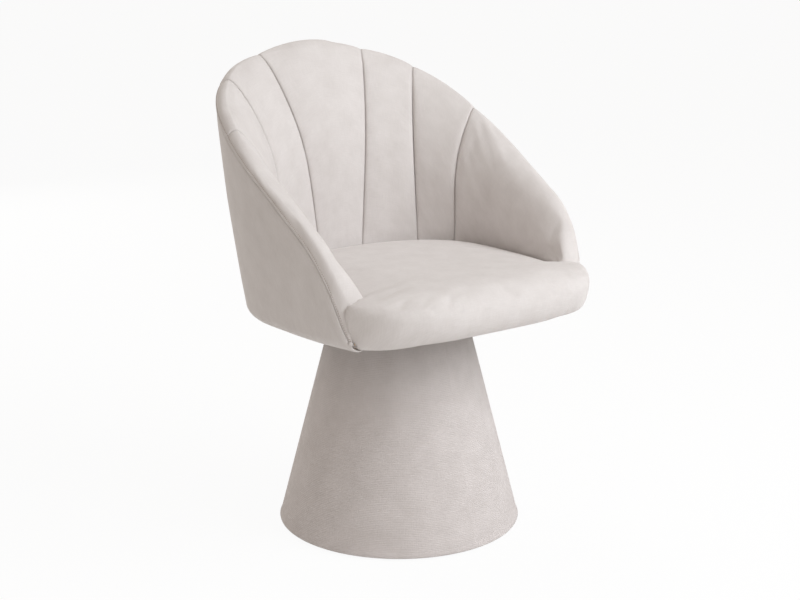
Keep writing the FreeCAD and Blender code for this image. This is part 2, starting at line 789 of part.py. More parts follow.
def cover_section(station):
    """The outer fabric: down the wall from the rim seam and in under the seat board's edge."""
    seam = station.rim - station.drop - GAP
    under = UNDERSIDE - float(s.underside_cloth)
    skin, tuck = float(s.cover_thickness), float(s.edge_tuck)
    low, high = station.outer(BOARD_TOP), station.outer(seam)
    half_way = (BOARD_TOP + seam) / 2
    points = [
        station.point(low - tuck - skin, under),
        station.point(low - tuck, under),
        station.point(low, BOARD_TOP),
        station.point(high, seam),
        station.point(high - skin, seam),
        station.point(low - skin, BOARD_TOP),
    ]
    bow = bowed(station.outer(half_way), low, high)
    arcs = {2: station.point(bow, half_way), 4: station.point(bow - skin, half_way)}
    return wire_of(points, arcs)


def shell_section(station):
    """The plywood shell, standing on the seat board's edge."""
    top = station.rim - station.drop - float(s.shell_below_seam)
    face = float(s.cover_thickness) + GAP
    back = face + float(s.shell_thickness)
    half_way = (BOARD_TOP + top) / 2
    low, high = station.outer(BOARD_TOP), station.outer(top)
    points = [
        station.point(low - back, BOARD_TOP),
        station.point(low - face, BOARD_TOP),
        station.point(high - face, top),
        station.point(high - back, top),
    ]
    bow = bowed(station.outer(half_way), low, high)
    arcs = {1: station.point(bow - face, half_way), 3: station.point(bow - back, half_way)}
    return wire_of(points, arcs)


def wall_points(station):
    """Heights and reaches that the foam and the pads share at one station."""
    seam_out = station.rim - station.drop
    seam_in = station.rim - ROLL
    reach = station.outer(seam_out)
    inside = reach - rim_thickness_at(station, reach)
    seat_z = min(SEAT_LINE, seam_in - ROLL / 2)
    pad_end = min(SEAT_LINE - float(s.pad_tuck), seat_z - ROLL / 4)
    return seam_out, seam_in, reach, inside, seat_z, pad_end


def foam_section(station):
    """The moulded foam between the shell and the pads, wrapped over the shell's top edge."""
    seam_out, seam_in, reach, inside, seat_z, pad_end = wall_points(station)
    depth = float(s.pad_thickness) + GAP
    face = float(s.cover_thickness) + GAP
    back = face + float(s.shell_thickness) + GAP
    shell_top = seam_out - float(s.shell_below_seam) + GAP
    bottom = BOARD_TOP + GAP
    seat = station.inner(seat_z)
    low, high = station.outer(bottom), station.outer(shell_top)
    half_way = (bottom + shell_top) / 2
    bow = bowed(station.outer(half_way), low, high)
    points = [
        station.point(low - back, bottom),
        station.point(high - back, shell_top),
        station.point(high - face, shell_top),
        station.point(reach - face, seam_out - GAP),
        station.point(reach - depth, seam_out - GAP),
        station.point(reach - ROLL, station.rim - depth),
        station.point(inside + ROLL, station.rim - depth),
        station.point(inside + depth, seam_in),
        station.point(seat + depth, seat_z),
        station.point(station.inner(pad_end) + depth, pad_end - GAP),
        station.point(station.inner(pad_end) + GAP, pad_end - GAP),
        station.point(station.inner(bottom) + GAP, bottom),
    ]
    small = ROLL - depth
    arcs = {
        0: station.point(bow - back, half_way),
        4: quarter(station, reach - ROLL, small, station.drop - depth, seam_out),
        6: quarter(station, inside + ROLL, -small, small, seam_in),
    }
    return wire_of(points, arcs)


def pad_section(station):
    """A channel pad: from the rim seam over the rolled rim and down the inside to the seat."""
    seam_out, seam_in, reach, inside, seat_z, pad_end = wall_points(station)
    depth = float(s.pad_thickness)
    puff = station.bulge
    at_rim, at_middle = float(s.bulge_rim) * puff, float(s.bulge_middle) * puff
    at_seat = float(s.bulge_seat) * puff
    seat, end = station.inner(seat_z), station.inner(pad_end)
    half_way = (seam_in + seat_z) / 2
    share = min(1.0, (seam_in - seat_z) / float(s.bulge_run))
    straight = (inside - at_rim + seat - at_seat) / 2
    middle = straight - max(LEAST_BOW, (at_middle - (at_rim + at_seat) / 2) * share)
    points = [
        station.point(reach, seam_out),
        station.point(reach - ROLL, station.rim + at_rim),
        station.point(inside + ROLL, station.rim + at_rim),
        station.point(inside - at_rim, seam_in),
        station.point(seat - at_seat, seat_z),
        station.point(end - at_seat, pad_end),
        station.point(end + depth, pad_end),
        station.point(seat + depth, seat_z),
        station.point(inside + depth, seam_in),
        station.point(inside + ROLL, station.rim - depth),
        station.point(reach - ROLL, station.rim - depth),
        station.point(reach - depth, seam_out),
    ]
    small = ROLL - depth
    arcs = {
        0: quarter(station, reach - ROLL, ROLL, station.drop + at_rim, seam_out),
        2: quarter(station, inside + ROLL, -ROLL - at_rim, ROLL + at_rim, seam_in),
        3: station.point(middle, half_way),
        8: quarter(station, inside + ROLL, -small, small, seam_in),
        10: quarter(station, reach - ROLL, small, station.drop - depth, seam_out),
    }
    return wire_of(points, arcs)


def feature(label, shape):
    """A sub-part whose shape comes from lofts and cuts."""
    thing = doc.addObject("Part::Feature", label)
    thing.Shape = shape
    thing.Placement = Placement()
    thing.Label = label
    nodes.append(thing)
    return thing


def loft(sections):
    """A ruled loft: layers that share their stations keep an even gap between them."""
    return Part.makeLoft(sections, True, True)


# The channels' seams, each as its angle at the seat and at the rim
SEAMS = [
    (float(s.seam_one_seat_angle), float(s.seam_one_rim_angle)),
    (float(s.seam_two_seat_angle), float(s.seam_two_rim_angle)),
    (float(s.seam_three_seat_angle), float(s.seam_three_rim_angle)),
]
PUFF = [(0, 0.0), (0.12, 0.6), (0.3, 0.92), (0.5, 1.0), (0.7, 0.92), (0.88, 0.6), (1, 0.0)]
SIDE_PLACES = [0, 0.2, STRAIGHT, 0.5, 0.6, 0.7, 0.8, 0.9, 1]
SIDE_PUFF = [1.0, 1.0, 1.0, 0.95, 0.85, 0.7, 0.5, 0.3, 0.1]
SHELL_PLACES = SIDE_PLACES[:-1]


def mirrored(pair):
    return tuple(-one for one in pair)


def between(first, last, share):
    return tuple(one + (two - one) * share for one, two in zip(first, last))


# Stations between the last seam and the arm, and how far the arm pad has filled out there
ARM_START = [between(SEAMS[2], (90, 90), share) for share in (0.2, 0.4, 0.6, 0.8)]
ARM_PUFF = [0.0, 0.6, 0.85, 0.95, 1.0]


def back_pairs():
    """The back's stations, the same for every layer so that their surfaces stay parallel."""
    edges = [mirrored(pair) for pair in reversed(SEAMS)] + SEAMS
    pairs = [mirrored(pair) for pair in reversed(ARM_START)]
    for first, last in zip(edges, edges[1:]):
        pairs += [between(first, last, share) for share, puff in PUFF[:-1]]
    return pairs + [SEAMS[2]] + ARM_START


def all_round(section, places):
    """Sections from one arm's front, round the back, to the other arm's front."""
    left = [section(side_station(-1, place)) for place in reversed(places)]
    back = [section(back_station(low, high)) for low, high in back_pairs()]
    right = [section(side_station(1, place)) for place in places]
    return left + back + right


# Wooden blocks hold the shell to the seat board, each with a screw from below

BLOCK = [float(s.block_depth), float(s.block_length), float(s.block_height)]
BLOCK_ANGLES = [-60, -20, 20, 60]
BLOCK_PLACES = [0.05, 0.5]


def block_stations():
    back = [back_station(angle, angle) for angle in BLOCK_ANGLES]
    arms = [side_station(side, place) for side in (-1, 1) for place in BLOCK_PLACES]
    return back + arms


def block_shape(station, play):
    """A block that lies against the shell's inner face on top of the seat board."""
    depth, length, height = BLOCK
    wall = float(s.cover_thickness) + GAP + float(s.shell_thickness)
    half = length / 2
    reach = 2 * TOP
    for shift in (-half, half):
        beside = Station(station.out, station.along, station.low + shift, station.low + shift,
                         station.rim, station.drop)
        reach = min(reach, beside.outer(BOARD_TOP) - wall - GAP)
    box = Part.makeBox(depth + 2 * play, length + 2 * play, height + play,
                       Vector(reach - depth - play, -half - play, 0))
    turn = math.degrees(math.atan2(station.out.y, station.out.x))
    middle = station.along * station.low
    box.Placement = Placement(middle + UP * BOARD_TOP, Rotation(Vector(0, 0, 1), turn))
    spot = station.out * (reach - depth / 2) + middle + UP * UNDERSIDE
    return box, spot


def block_screw(spot, play):
    """A countersunk screw up through the board, or with some play the hole for it."""
    head, shank = float(s.screw_head_radius) + play, float(s.screw_radius) + play
    length = float(s.board_thickness) + BLOCK[2] - float(s.screw_head_height) + play
    cone = Part.makeCone(head, shank, float(s.screw_head_height), spot)
    return cone.fuse(Part.makeCylinder(shank, length, spot)).removeSplitter()


blocks = [block_shape(station, 0.0) for station in block_stations()]
foam_pockets = [block_shape(station, GAP)[0] for station in block_stations()]
screw_holes = [block_screw(spot, float(s.hole_play)) for box, spot in blocks]
feature("shell_screws", Part.makeCompound([block_screw(spot, 0.0) for box, spot in blocks]))
feature("shell_blocks", Part.makeCompound([box.cut(screw_holes).Solids[0] for box, spot in blocks]))
feature("tub_shell", loft(all_round(shell_section, SHELL_PLACES)))
feature("tub_foam", loft(all_round(foam_section, SIDE_PLACES)).cut(foam_pockets))
feature("outer_cover", loft(all_round(cover_section, SIDE_PLACES)))

# The seven channel pads of the inner back, from seam to seam


def channel(first, last):
    """A pad between two back seams, crowned across its width."""
    sections = []
    for share, puff in PUFF:
        low, high = between(first, last, share)
        sections.append(pad_section(back_station(low, high, puff)))
    return loft(sections)


def arm_pad(side):
    """The long pad from the last back seam forward over the arm."""
    sections = []
    for (low, high), puff in zip([SEAMS[2]] + ARM_START, ARM_PUFF):
        sections.append(pad_section(back_station(side * low, side * high, puff)))
    for place, puff in zip(SIDE_PLACES, SIDE_PUFF):
        sections.append(pad_section(side_station(side, place, puff)))
    return loft(sections)


feature("channel_pad_centre", channel(mirrored(SEAMS[0]), SEAMS[0]))
for name, sign in (("right", -1), ("left", 1)):
    first, second, third = [tuple(sign * one for one in pair) for pair in SEAMS]
    feature(f"channel_pad_{name}_inner", channel(first, second))
    feature(f"channel_pad_{name}_outer", channel(second, third))
    feature(f"arm_pad_{name}", arm_pad(sign))

# The seat: board, foam block and cover, with a rounded front between the arms' ends

SEAT_TOP = SEAT_LINE + float(s.seat_crown)
SIDE_KNEE = SEAT_LINE - float(s.seat_edge_drop)
BOW = float(s.front_bow_height)

# How much of the ledge in front of the arms the crown takes up
LEDGE_SHARE = 1.3
BACK_TURNS = [11.25 * step for step in range(-8, 9)]


def rounded(share, power):
    """How far a rounded edge has turned in, from 0 to 1, at a share of its height."""
    return 1 - (1 - min(1.0, max(0.0, share)) ** power) ** (1 / power)


def arm_front(z):
    """Where the arms' front faces lie at a height, measured back from the axis."""
    end = side_station(1, 1)
    if z <= end.rim:
        return end.shift(z)
    centre_y, centre_z = nose_centre()
    return centre_y - math.sqrt(float(s.nose_radius) ** 2 - (z - centre_z) ** 2)


def side_shrink(z):
    """How far the seat's outline has drawn in from the walls at a height."""
    return float(s.crown_width) * rounded((z - SIDE_KNEE) / (SEAT_TOP - SIDE_KNEE), 2)


def front_shrink(z):
    """How far the seat's front has drawn in from its most forward line."""
    if z < BOW:
        depth = BOW - UNDERSIDE + float(s.underside_cloth)
        return float(s.front_tuck) * rounded((BOW - z) / depth, 2)
    ledge = float(s.front_depth) + arm_front(z)
    return LEDGE_SHARE * ledge * rounded((z - BOW) / (SEAT_TOP - BOW), 3)


def outline_point(angle, z, test):
    """The point of an outline in a direction from the axis, the angle taken from the back."""
    turn = math.radians(angle)
    x, y = math.sin(turn), math.cos(turn)
    reach = solve(lambda reach: test(x * reach, y * reach))
    return Vector(x * reach, y * reach, z)


def width_at(y, test):
    return solve(lambda reach: test(reach, y))


def arcs_through(points):
    """Arcs that each pass through three of the points in turn."""
    return [Part.Arc(*points[index:index + 3]).toShape() for index in range(0, len(points) - 2, 2)]


def seat_wire(z, inset):
    """The seat's outline at a height: inside the walls, then out to the front's full width."""
    side = inset + side_shrink(z) + 2 * GAP + float(s.bulge_seat)
    front = inset + front_shrink(z)
    step = arm_front(z) - 2 * GAP - inset

    def wall(x, y):
        return inner_level(x, y, side)

    def tub(x, y):
        return outer_level(x, y, min(z, SEAT_LINE), front)

    squeeze = 1.0
    if z > SEAT_LINE:
        share = (z - SEAT_LINE) / (SEAT_TOP - SEAT_LINE)
        ear = float(s.side_wall) * (1 - rounded(share, 2))
        squeeze = (width_at(step, wall) + ear) / width_at(step, tub)

    def bow(x, y):
        return tub(x / squeeze, y)

    back = [outline_point(angle, z, wall) for angle in BACK_TURNS]
    along = [Vector(width_at(step * share, wall), step * share, z) for share in (0.25, 0.5, 0.75, 1)]
    corner = Vector(width_at(step, bow), step, z)
    start = math.degrees(math.atan2(corner.x, corner.y))
    turns = [start + (180 - start) * share for share in (0.25, 0.5, 0.75, 1)]
    ahead = [outline_point(angle, z, bow) for angle in turns]
    left_along = [Vector(-one.x, one.y, z) for one in reversed(along)]
    left_ahead = [Vector(-one.x, one.y, z) for one in reversed(ahead[:3])]
    left_corner = Vector(-corner.x, step, z)
    edges = arcs_through(back + along)
    edges.append(Part.LineSegment(along[-1], corner).toShape())
    edges += arcs_through([corner] + ahead + left_ahead + [left_corner])
    edges.append(Part.LineSegment(left_corner, left_along[0]).toShape())
    edges += arcs_through(left_along + [back[0]])
    return Part.Wire(edges)


def seat_form(inset, bottom):
    """The seat's padded form, set in from its outer face."""
    lows = [bottom, BOARD_TOP, (BOARD_TOP + BOW) / 2, BOW]
    highs = [(BOW + SEAT_LINE) / 2, SEAT_LINE]
    highs += [SEAT_LINE + float(s.seat_crown) * share for share in (0.35, 0.65, 0.85, 0.96)]
    wires = []
    for z in lows + highs:
        wire = seat_wire(z, inset)
        if z > BOW:
            wire.translate(Vector(0, 0, -inset * (z - BOW) / (SEAT_TOP - BOW)))
        wires.append(wire)
    return Part.makeLoft(wires, True, True)


def board_wire(z, inset):
    """The seat board's outline, inside the outer cover and the seat's front."""
    turns = [7.5 * step for step in range(48)]

    def edge(x, y):
        tuck = inset
        if y < 0:
            front = front_shrink(z) - (inset - float(s.cover_thickness) - GAP)
            ahead = min(1.0, -y / float(s.nose_reach))
            tuck = inset + max(0.0, front) * ahead ** 4
        return outer_level(x, y, BOARD_TOP, tuck)
    points = [outline_point(angle, z, edge) for angle in turns]
    points.append(points[0])
    return Part.Wire(arcs_through(points))


edge_gap = float(s.cover_thickness) + GAP
low_edge = float(s.edge_tuck) + edge_gap
cloth_low = UNDERSIDE - float(s.underside_cloth)
board_depth = float(s.board_thickness)
board = Part.makeLoft([board_wire(UNDERSIDE, low_edge), board_wire(BOARD_TOP, edge_gap)], True, True)
board_holes = [Part.makeCylinder(float(s.relief_radius), board_depth, UP * UNDERSIDE)]
nut_spaces = []
for index in range(int(float(s.bolt_count))):
    turn = 2 * math.pi * index / float(s.bolt_count) + math.radians(BOLT_TURN)
    spot = Vector(math.cos(turn), math.sin(turn), 0) * float(s.bolt_circle)
    hole_radius = float(s.nut_barrel_radius + s.hole_play)
    board_holes.append(Part.makeCylinder(hole_radius, board_depth, spot + UP * UNDERSIDE))
    tip = max(float(s.nut_flange), float(s.bolt_length - s.plate_thickness - s.board_thickness))
    space_radius = float(s.nut_flange_radius) + GAP
    nut_spaces.append(Part.makeCylinder(space_radius, tip + GAP, spot + UP * BOARD_TOP))
feature("seat_board", board.cut(board_holes + screw_holes))

foam_block = seat_form(float(s.seat_skin), UNDERSIDE)
feature("seat_foam", foam_block.cut([board] + nut_spaces))

# The cover reaches a little under the board, and the thin cloth fills what it leaves open
below = board_wire(cloth_low - float(s.underside_cloth), low_edge)
under_cutter = Part.makeLoft([below, board_wire(UNDERSIDE, low_edge)], True, True)
cover_body = seat_form(0.0, cloth_low).cut([foam_block, board, under_cutter])
feature("seat_cover", max(cover_body.Solids, key=lambda one: one.Volume))

cloth_wires = [board_wire(z, low_edge + GAP) for z in (cloth_low, UNDERSIDE)]
cloth = Part.makeLoft(cloth_wires, True, True)
plate_space = float(s.plate_radius) + float(s.underside_cloth)
opening = Part.makeCylinder(plate_space, float(s.underside_cloth), UP * cloth_low)
feature("seat_underside_cloth", cloth.cut(opening))

doc.recompute()

# Every object is checked before anything is written

for thing in doc.Objects:
    if "Invalid" in thing.State or "Error" in thing.State:
        raise SystemExit(f"{thing.Name} is {thing.State}")
for node in nodes:
    shape = node.Shape
    if shape.isNull() or not shape.isValid() or not shape.Solids:
        raise SystemExit(f"{node.Label} has no valid solid")
    box = shape.BoundBox
    print(f"{node.Label}: {len(shape.Solids)} solid(s), {shape.Volume / 1000:.1f} cc, "
          f"z {box.ZMin:.1f} to {box.ZMax:.1f}")
    shape.exportStep(f"parts/{node.Label}.step")
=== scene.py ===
# %% [markdown]
# # Pedestal swivel armchair
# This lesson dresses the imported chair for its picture. The frame holds every piece at its real
# size, in metres, so a new piece only has to be made where the frame says. The hard pieces stay
# as they are and get materials; the padded pieces are made again here with their seams.

# %% Load the frame
import json
import math
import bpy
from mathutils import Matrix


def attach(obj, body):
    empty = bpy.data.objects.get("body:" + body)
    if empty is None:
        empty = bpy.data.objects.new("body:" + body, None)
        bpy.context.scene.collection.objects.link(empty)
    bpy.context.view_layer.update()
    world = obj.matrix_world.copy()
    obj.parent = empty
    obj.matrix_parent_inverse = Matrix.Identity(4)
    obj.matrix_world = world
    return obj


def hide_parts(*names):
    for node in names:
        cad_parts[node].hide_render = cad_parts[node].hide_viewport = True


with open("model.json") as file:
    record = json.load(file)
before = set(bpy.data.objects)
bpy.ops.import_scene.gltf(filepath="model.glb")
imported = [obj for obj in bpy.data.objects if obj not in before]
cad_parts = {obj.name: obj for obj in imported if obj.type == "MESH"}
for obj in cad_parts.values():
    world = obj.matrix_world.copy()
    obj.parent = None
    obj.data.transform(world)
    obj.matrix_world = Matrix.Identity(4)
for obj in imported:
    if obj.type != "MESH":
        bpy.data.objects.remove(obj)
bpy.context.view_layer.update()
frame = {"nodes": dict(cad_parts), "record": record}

from types import SimpleNamespace

import bmesh
import bpy
import numpy as np
from mathutils import Matrix, Vector

scene = bpy.context.scene
scene.view_settings.view_transform = "Standard"

# %% [markdown]
# ## Shader sums
# Cloth needs a lot of small patterns that are added and multiplied. A little class wraps a
# shader socket, so that a pattern can be written as an ordinary sum. Every other node comes from
# one method, which sets the node's choices first and its sockets after that.

# %% A socket that can be used in sums
class Wire:
    """A shader socket in one node tree."""

    def __init__(self, tree, socket):
        self.tree = tree
        self.socket = socket

    def node(self, kind, settings, sockets, output=0):
        """A new node of this kind in the same tree, as the wire from one of its outputs."""
        made = self.tree.nodes.new(kind)
        for name, value in settings.items():
            setattr(made, name, value)
        for name, value in sockets.items():
            if isinstance(value, Wire):
                self.tree.links.new(value.socket, made.inputs[name])
            else:
                made.inputs[name].default_value = value
        return Wire(self.tree, made.outputs[output])

    def sum(self, operation, first, second):
        """A maths node on two values."""
        return self.node("ShaderNodeMath", {"operation": operation}, {0: first, 1: second})

    def __add__(self, other):
        return self.sum("ADD", self, other)

    def __sub__(self, other):
        return self.sum("SUBTRACT", self, other)

    def __rsub__(self, other):
        return self.sum("SUBTRACT", other, self)

    def __mul__(self, other):
        return self.sum("MULTIPLY", self, other)

    __radd__, __rmul__ = __add__, __mul__

    def wave(self):
        """The sine of this value, between -1 and 1."""
        return self.node("ShaderNodeMath", {"operation": "SINE"}, {0: self})


def new_material(name, coordinates):
    """A new material, its principled shader, and a wire with its UV or Object coordinates."""
    material = bpy.data.materials.new(name)
    material.use_nodes = True
    tree = material.node_tree
    shader = next(one for one in tree.nodes if one.type == "BSDF_PRINCIPLED")
    places = tree.nodes.new("ShaderNodeTexCoord")
    return material, shader, Wire(tree, places.outputs[coordinates])


def noise(spot, scale, detail):
    """A noise pattern, from 0 to 1, at a wire of coordinates."""
    return spot.node("ShaderNodeTexNoise", {}, {"Vector": spot, "Scale": scale, "Detail": detail})


def linear(red, green, blue):
    """A screen's colour, from 0 to 255, turned into the linear values of a shader."""
    shown = [value / 255 for value in (red, green, blue)]
    return tuple(v / 12.92 if v <= 0.04045 else ((v + 0.055) / 1.055) ** 2.4 for v in shown) + (1,)


def two_tone(shade, dark, pale):
    """A colour between two of a screen's colours, where the shade goes from 0 to 1."""
    return shade.node("ShaderNodeMix", {"data_type": "RGBA", "clamp_factor": True},
                      {"Factor": shade, 6: linear(*dark), 7: linear(*pale)}, 2)


def raised(height, strength, distance):
    """A bump that stands up by this distance in metres where the height is 1."""
    return height.node("ShaderNodeBump", {},
                       {"Strength": strength, "Distance": distance, "Height": height})


def fill_shader(shader, colour, normal, roughness):
    """Feed a principled shader with its three patterns."""
    for socket, wire in (("Base Color", colour), ("Normal", normal), ("Roughness", roughness)):
        colour.tree.links.new(wire.socket, shader.inputs[socket])


# %% [markdown]
# ## Velvet
# The chair wears a short-pile velvet over a linen-like ground. From a step away it shows soft
# cloudy patches where the pile leans, and thin crossing yarns. The yarns follow the cloth, so they
# read the piece's own UV map, which is laid out in metres. Sheen gives the pale edges.

# %% The velvet materials
PILE_CLOUD, THREAD = 0.035, 0.0009
YARNS_PER_METRE, YARN_STEPS_PER_METRE = 700.0, 60.0
PILE_DEPTH, PILE_ROUGHNESS = 0.0006, 0.86


def velvet(name, pale, dark, rib_pitch, rib_height):
    """A velvet between two colours, with ribs across it at a pitch in metres."""
    material, shader, uv = new_material(name, "UV")
    across = uv.node("ShaderNodeSeparateXYZ", {}, {0: uv}, "X")
    down = uv.node("ShaderNodeSeparateXYZ", {}, {0: uv}, "Y")

    def yarns(across_scale, down_scale):
        stretched = {"X": across * across_scale, "Y": down * down_scale}
        return noise(uv.node("ShaderNodeCombineXYZ", {}, stretched), 1.0, 2.0)

    cloud = noise(uv, 1 / PILE_CLOUD, 3.0)
    slub = yarns(YARN_STEPS_PER_METRE, YARNS_PER_METRE)
    warp = yarns(YARNS_PER_METRE, YARN_STEPS_PER_METRE)
    turn = 2 * math.pi
    ribs = (down * (turn / rib_pitch)).wave()
    weave = (across * (turn / THREAD)).wave() * (down * (turn / THREAD)).wave()
    shade = (cloud - 0.5) * 0.8 + (slub - 0.5) * 0.55 + (warp - 0.5) * 0.45 + 0.5
    # Painted shade: the ribs also make the colour a little darker in their grooves and paler on
    # their ridges.
    shade = shade + ribs * (0.04 * rib_height)
    height = slub * 0.8 + warp * 0.6 + weave * 0.15 + ribs * rib_height + cloud * 1.5
    fill_shader(shader, two_tone(shade, dark, pale), raised(height, 0.35, PILE_DEPTH),
                PILE_ROUGHNESS - cloud * 0.12)
    for socket, value in (("Specular IOR Level", 0.2), ("Sheen Weight", 0.25),
                          ("Sheen Roughness", 0.45), ("Sheen Tint", (1.0, 0.97, 0.95, 1))):
        shader.inputs[socket].default_value = value
    return material


tub_velvet = velvet("tub_velvet", (222, 217, 215), (202, 196, 193), 0.0022, 0.1)
cone_velvet = velvet("cone_velvet", (216, 209, 207), (193, 186, 183), 0.0026, 0.35)
print("velvets:", tub_velvet.name, cone_velvet.name)

# %% [markdown]
# ## The wall of the tub
# The back and the arms are one padded wall. Its outside and its inside are superellipses, and its
# rim falls from the back to the arms. A column is an upright strip of the wall. Columns are
# numbered by the angle off the back at the rim, up to 90 at either side, and then on along the
# arm, 100 more to its front end. The sizes are the same, in millimetres, as in the frame.

# %% The wall's sizes
MM = 0.001
TOP, BOARD_TOP, UNDERSIDE, SEAT_LINE = 812.0, 397.0, 382.0, 449.0
ROLL, RIM, NOSE, NOSE_RADIUS = 16.0, 36.0, 198.0, 212.0
RIM_SLOPE, RIM_CROWN, CROWN_SPREAD, ARM_END = 0.6, 22.0, 26.0, 452.0
OUTER_HALF, OUTER_HALF_GAIN = 266.0, 14.0
BACK_DEPTH_LOW, BACK_DEPTH_TOP, BACK_BELLY = 245.0, 278.0, 16.0
FRONT_DEPTH, FRONT_GAIN = 280.0, 35.0
BACK_POWER, BACK_POWER_GAIN, FRONT_POWER = 1.95, 1.05, 3.7
INNER_HALF, INNER_BACK, INNER_FRONT = 218.0, 167.0, 330.0
INNER_BACK_POWER, INNER_FRONT_POWER = 2.07, 3.0

# Columns: the side's number, how many numbers an arm has, and the share of it that is straight.
SIDE, ARM_NUMBERS, STRAIGHT_SHARE = 90, 100, 0.4
SEAM_INNER, SEAM_MIDDLE, SEAM_OUTER = 23, 43, 67.5
RIM_ANGLES = [-90, -SEAM_OUTER, -SEAM_MIDDLE, -SEAM_INNER, SEAM_INNER, SEAM_MIDDLE, SEAM_OUTER, 90]
SEAT_ANGLES = [-90, -66, -48, -15.4, 15.4, 48, 66, 90]
SEAM_END_DROP, SEAM_END_SHARE = 19.0, 0.25


def superellipse(x, y, half, back, front, back_power, front_power):
    """Below 1 inside an outline with its own depth and power behind and in front."""
    behind = y >= 0
    depth = np.where(behind, back, front)
    power = np.where(behind, back_power, front_power)
    return (np.abs(x) / half) ** power + (np.abs(y) / depth) ** power


def outside_level(x, y, z, inset=0.0):
    """Below 1 within the tub's outside at a height, drawn in by an inset."""
    rise = (z - BOARD_TOP) / (TOP - BOARD_TOP)
    front = FRONT_DEPTH + FRONT_GAIN * np.maximum(0, z - SEAT_LINE) / (TOP - SEAT_LINE)
    back = BACK_DEPTH_LOW + (BACK_DEPTH_TOP - BACK_DEPTH_LOW) * rise
    back = back + BACK_BELLY * rise * (1 - rise)
    return superellipse(x, y, OUTER_HALF + OUTER_HALF_GAIN * rise - inset, back - inset,
                        front - inset, BACK_POWER + BACK_POWER_GAIN * rise, FRONT_POWER)


def inside_level(x, y, inset=0.0):
    """Below 1 within the tub's inside at the seat, drawn in by an inset."""
    return superellipse(x, y, INNER_HALF - inset, INNER_BACK - inset, INNER_FRONT - inset,
                        INNER_BACK_POWER, INNER_FRONT_POWER)


def grow_to(test, like):
    """The reach at which a growing test gets to 1, worked out for a whole array at once."""
    low, high = np.zeros_like(like), np.full_like(like, 2 * TOP)
    for _ in range(40):
        middle = (low + high) / 2
        inside = test(middle) < 1
        low = np.where(inside, middle, low)
        high = np.where(inside, high, middle)
    return low


def rim_at(depth, angle):
    """The rim's height at a depth behind the axis: a slope with a crown in the back's middle."""
    middle = TOP - 2 - RIM_CROWN - RIM_SLOPE * BACK_DEPTH_TOP
    return middle + RIM_SLOPE * depth + RIM_CROWN * np.exp(-(angle / CROWN_SPREAD) ** 2)


NOSE_Y = NOSE_RADIUS - NOSE
NOSE_Z = rim_at(NOSE_Y, 180.0) - NOSE_RADIUS * math.hypot(1, RIM_SLOPE)

# %% The wall's columns
class Columns:
    """Strips of the wall, each with the direction it faces, its lean and its rim."""

    def __init__(self, numbers):
        self.numbers = np.asarray(numbers, float)
        side = np.abs(self.numbers) > SIDE
        angle = np.clip(self.numbers, -SIDE, SIDE)
        seat = np.interp(angle, RIM_ANGLES, SEAT_ANGLES)
        middle, half = np.radians((seat + angle) / 2), np.radians((angle - seat) / 2)
        self.out = np.stack([np.sin(middle), np.cos(middle)], -1)
        self.along = np.stack([np.cos(middle), -np.sin(middle)], -1)
        self.rim = np.full_like(angle, TOP)
        for _ in range(12):
            reach = self.outer(self.rim - ROLL, 0 * angle)
            self.rim = rim_at(reach * np.cos(np.radians(angle)), angle)
        high = reach * np.tan(half)
        seat_shift = -self.inner(0 * angle) * np.tan(half)
        low = high + (seat_shift - high) * (self.rim - BOARD_TOP) / (self.rim - SEAT_LINE)
        place = np.clip((np.abs(self.numbers) - SIDE) / ARM_NUMBERS, 0, 1)
        rim, rim_y, drop = self.arm(place)
        self.out = np.where(side[:, None], np.stack([np.sign(angle), 0 * angle], -1), self.out)
        self.along = np.where(side[:, None], np.stack([0 * angle, 1 + 0 * angle], -1), self.along)
        self.rim = np.where(side, rim, self.rim)
        self.drop = np.where(side, drop, ROLL)
        self.low = np.where(side, -NOSE * place, low)
        self.high = np.where(side, rim_y, high)

    @staticmethod
    def arm(place):
        """Rim height, rim place and roll height along an arm; the rim turns down at its front."""
        start, end = math.atan2(1, RIM_SLOPE), math.asin((ARM_END - NOSE_Z) / NOSE_RADIUS)
        start_y = NOSE_Y - NOSE_RADIUS * math.cos(start)
        turn = np.clip((place - STRAIGHT_SHARE) / (1 - STRAIGHT_SHARE), 0, 1)
        angle = start + (end - start) * turn
        straight = place < STRAIGHT_SHARE
        straight_y = start_y * place / STRAIGHT_SHARE
        rim_y = np.where(straight, straight_y, NOSE_Y - NOSE_RADIUS * np.cos(angle))
        rim = np.where(straight, rim_at(straight_y, 180.0), NOSE_Z + NOSE_RADIUS * np.sin(angle))
        steep = np.where(straight, RIM_SLOPE, 1 / np.tan(angle))
        drop = np.minimum(ROLL * np.hypot(1, steep), rim - BOARD_TOP - 12)
        at_end = np.clip((place - 1 + SEAM_END_SHARE) / SEAM_END_SHARE, 0, 1)
        drop = drop + SEAM_END_DROP * at_end ** 2
        return rim, rim_y, ROLL + (drop - ROLL) * np.clip(place / STRAIGHT_SHARE, 0, 1)

    def shift(self, z):
        """How far a column has leaned sideways at a height."""
        return self.low + (self.high - self.low) * (z - BOARD_TOP) / (self.rim - BOARD_TOP)

    def point(self, reach, z):
        """Points in metres, at a reach from the axis and a height."""
        flat = self.out * reach[:, None] + self.along * self.shift(z)[:, None]
        return np.concatenate([flat, z[:, None]], 1) * MM

    def reach_to(self, level, shift):
        """The reach at which a level gets to 1, from the axis moved sideways by a shift."""
        start = self.along * shift[:, None]

        def test(reach):
            spot = start + self.out * reach[:, None]
            return level(spot[:, 0], spot[:, 1])
        return grow_to(test, self.rim)

    def outer(self, z, shift=None):
        """The tub's outside at a height, with the column's own lean unless a shift is given."""
        return self.reach_to(lambda x, y: outside_level(x, y, z),
                             self.shift(z) if shift is None else shift)

    def inner(self, shift):
        """The tub's inside at the seat, for columns leaned by a shift."""
        return self.reach_to(inside_level, shift)


print("rim heights:", Columns([0, 45, 90, 140, 190]).rim.round(1))

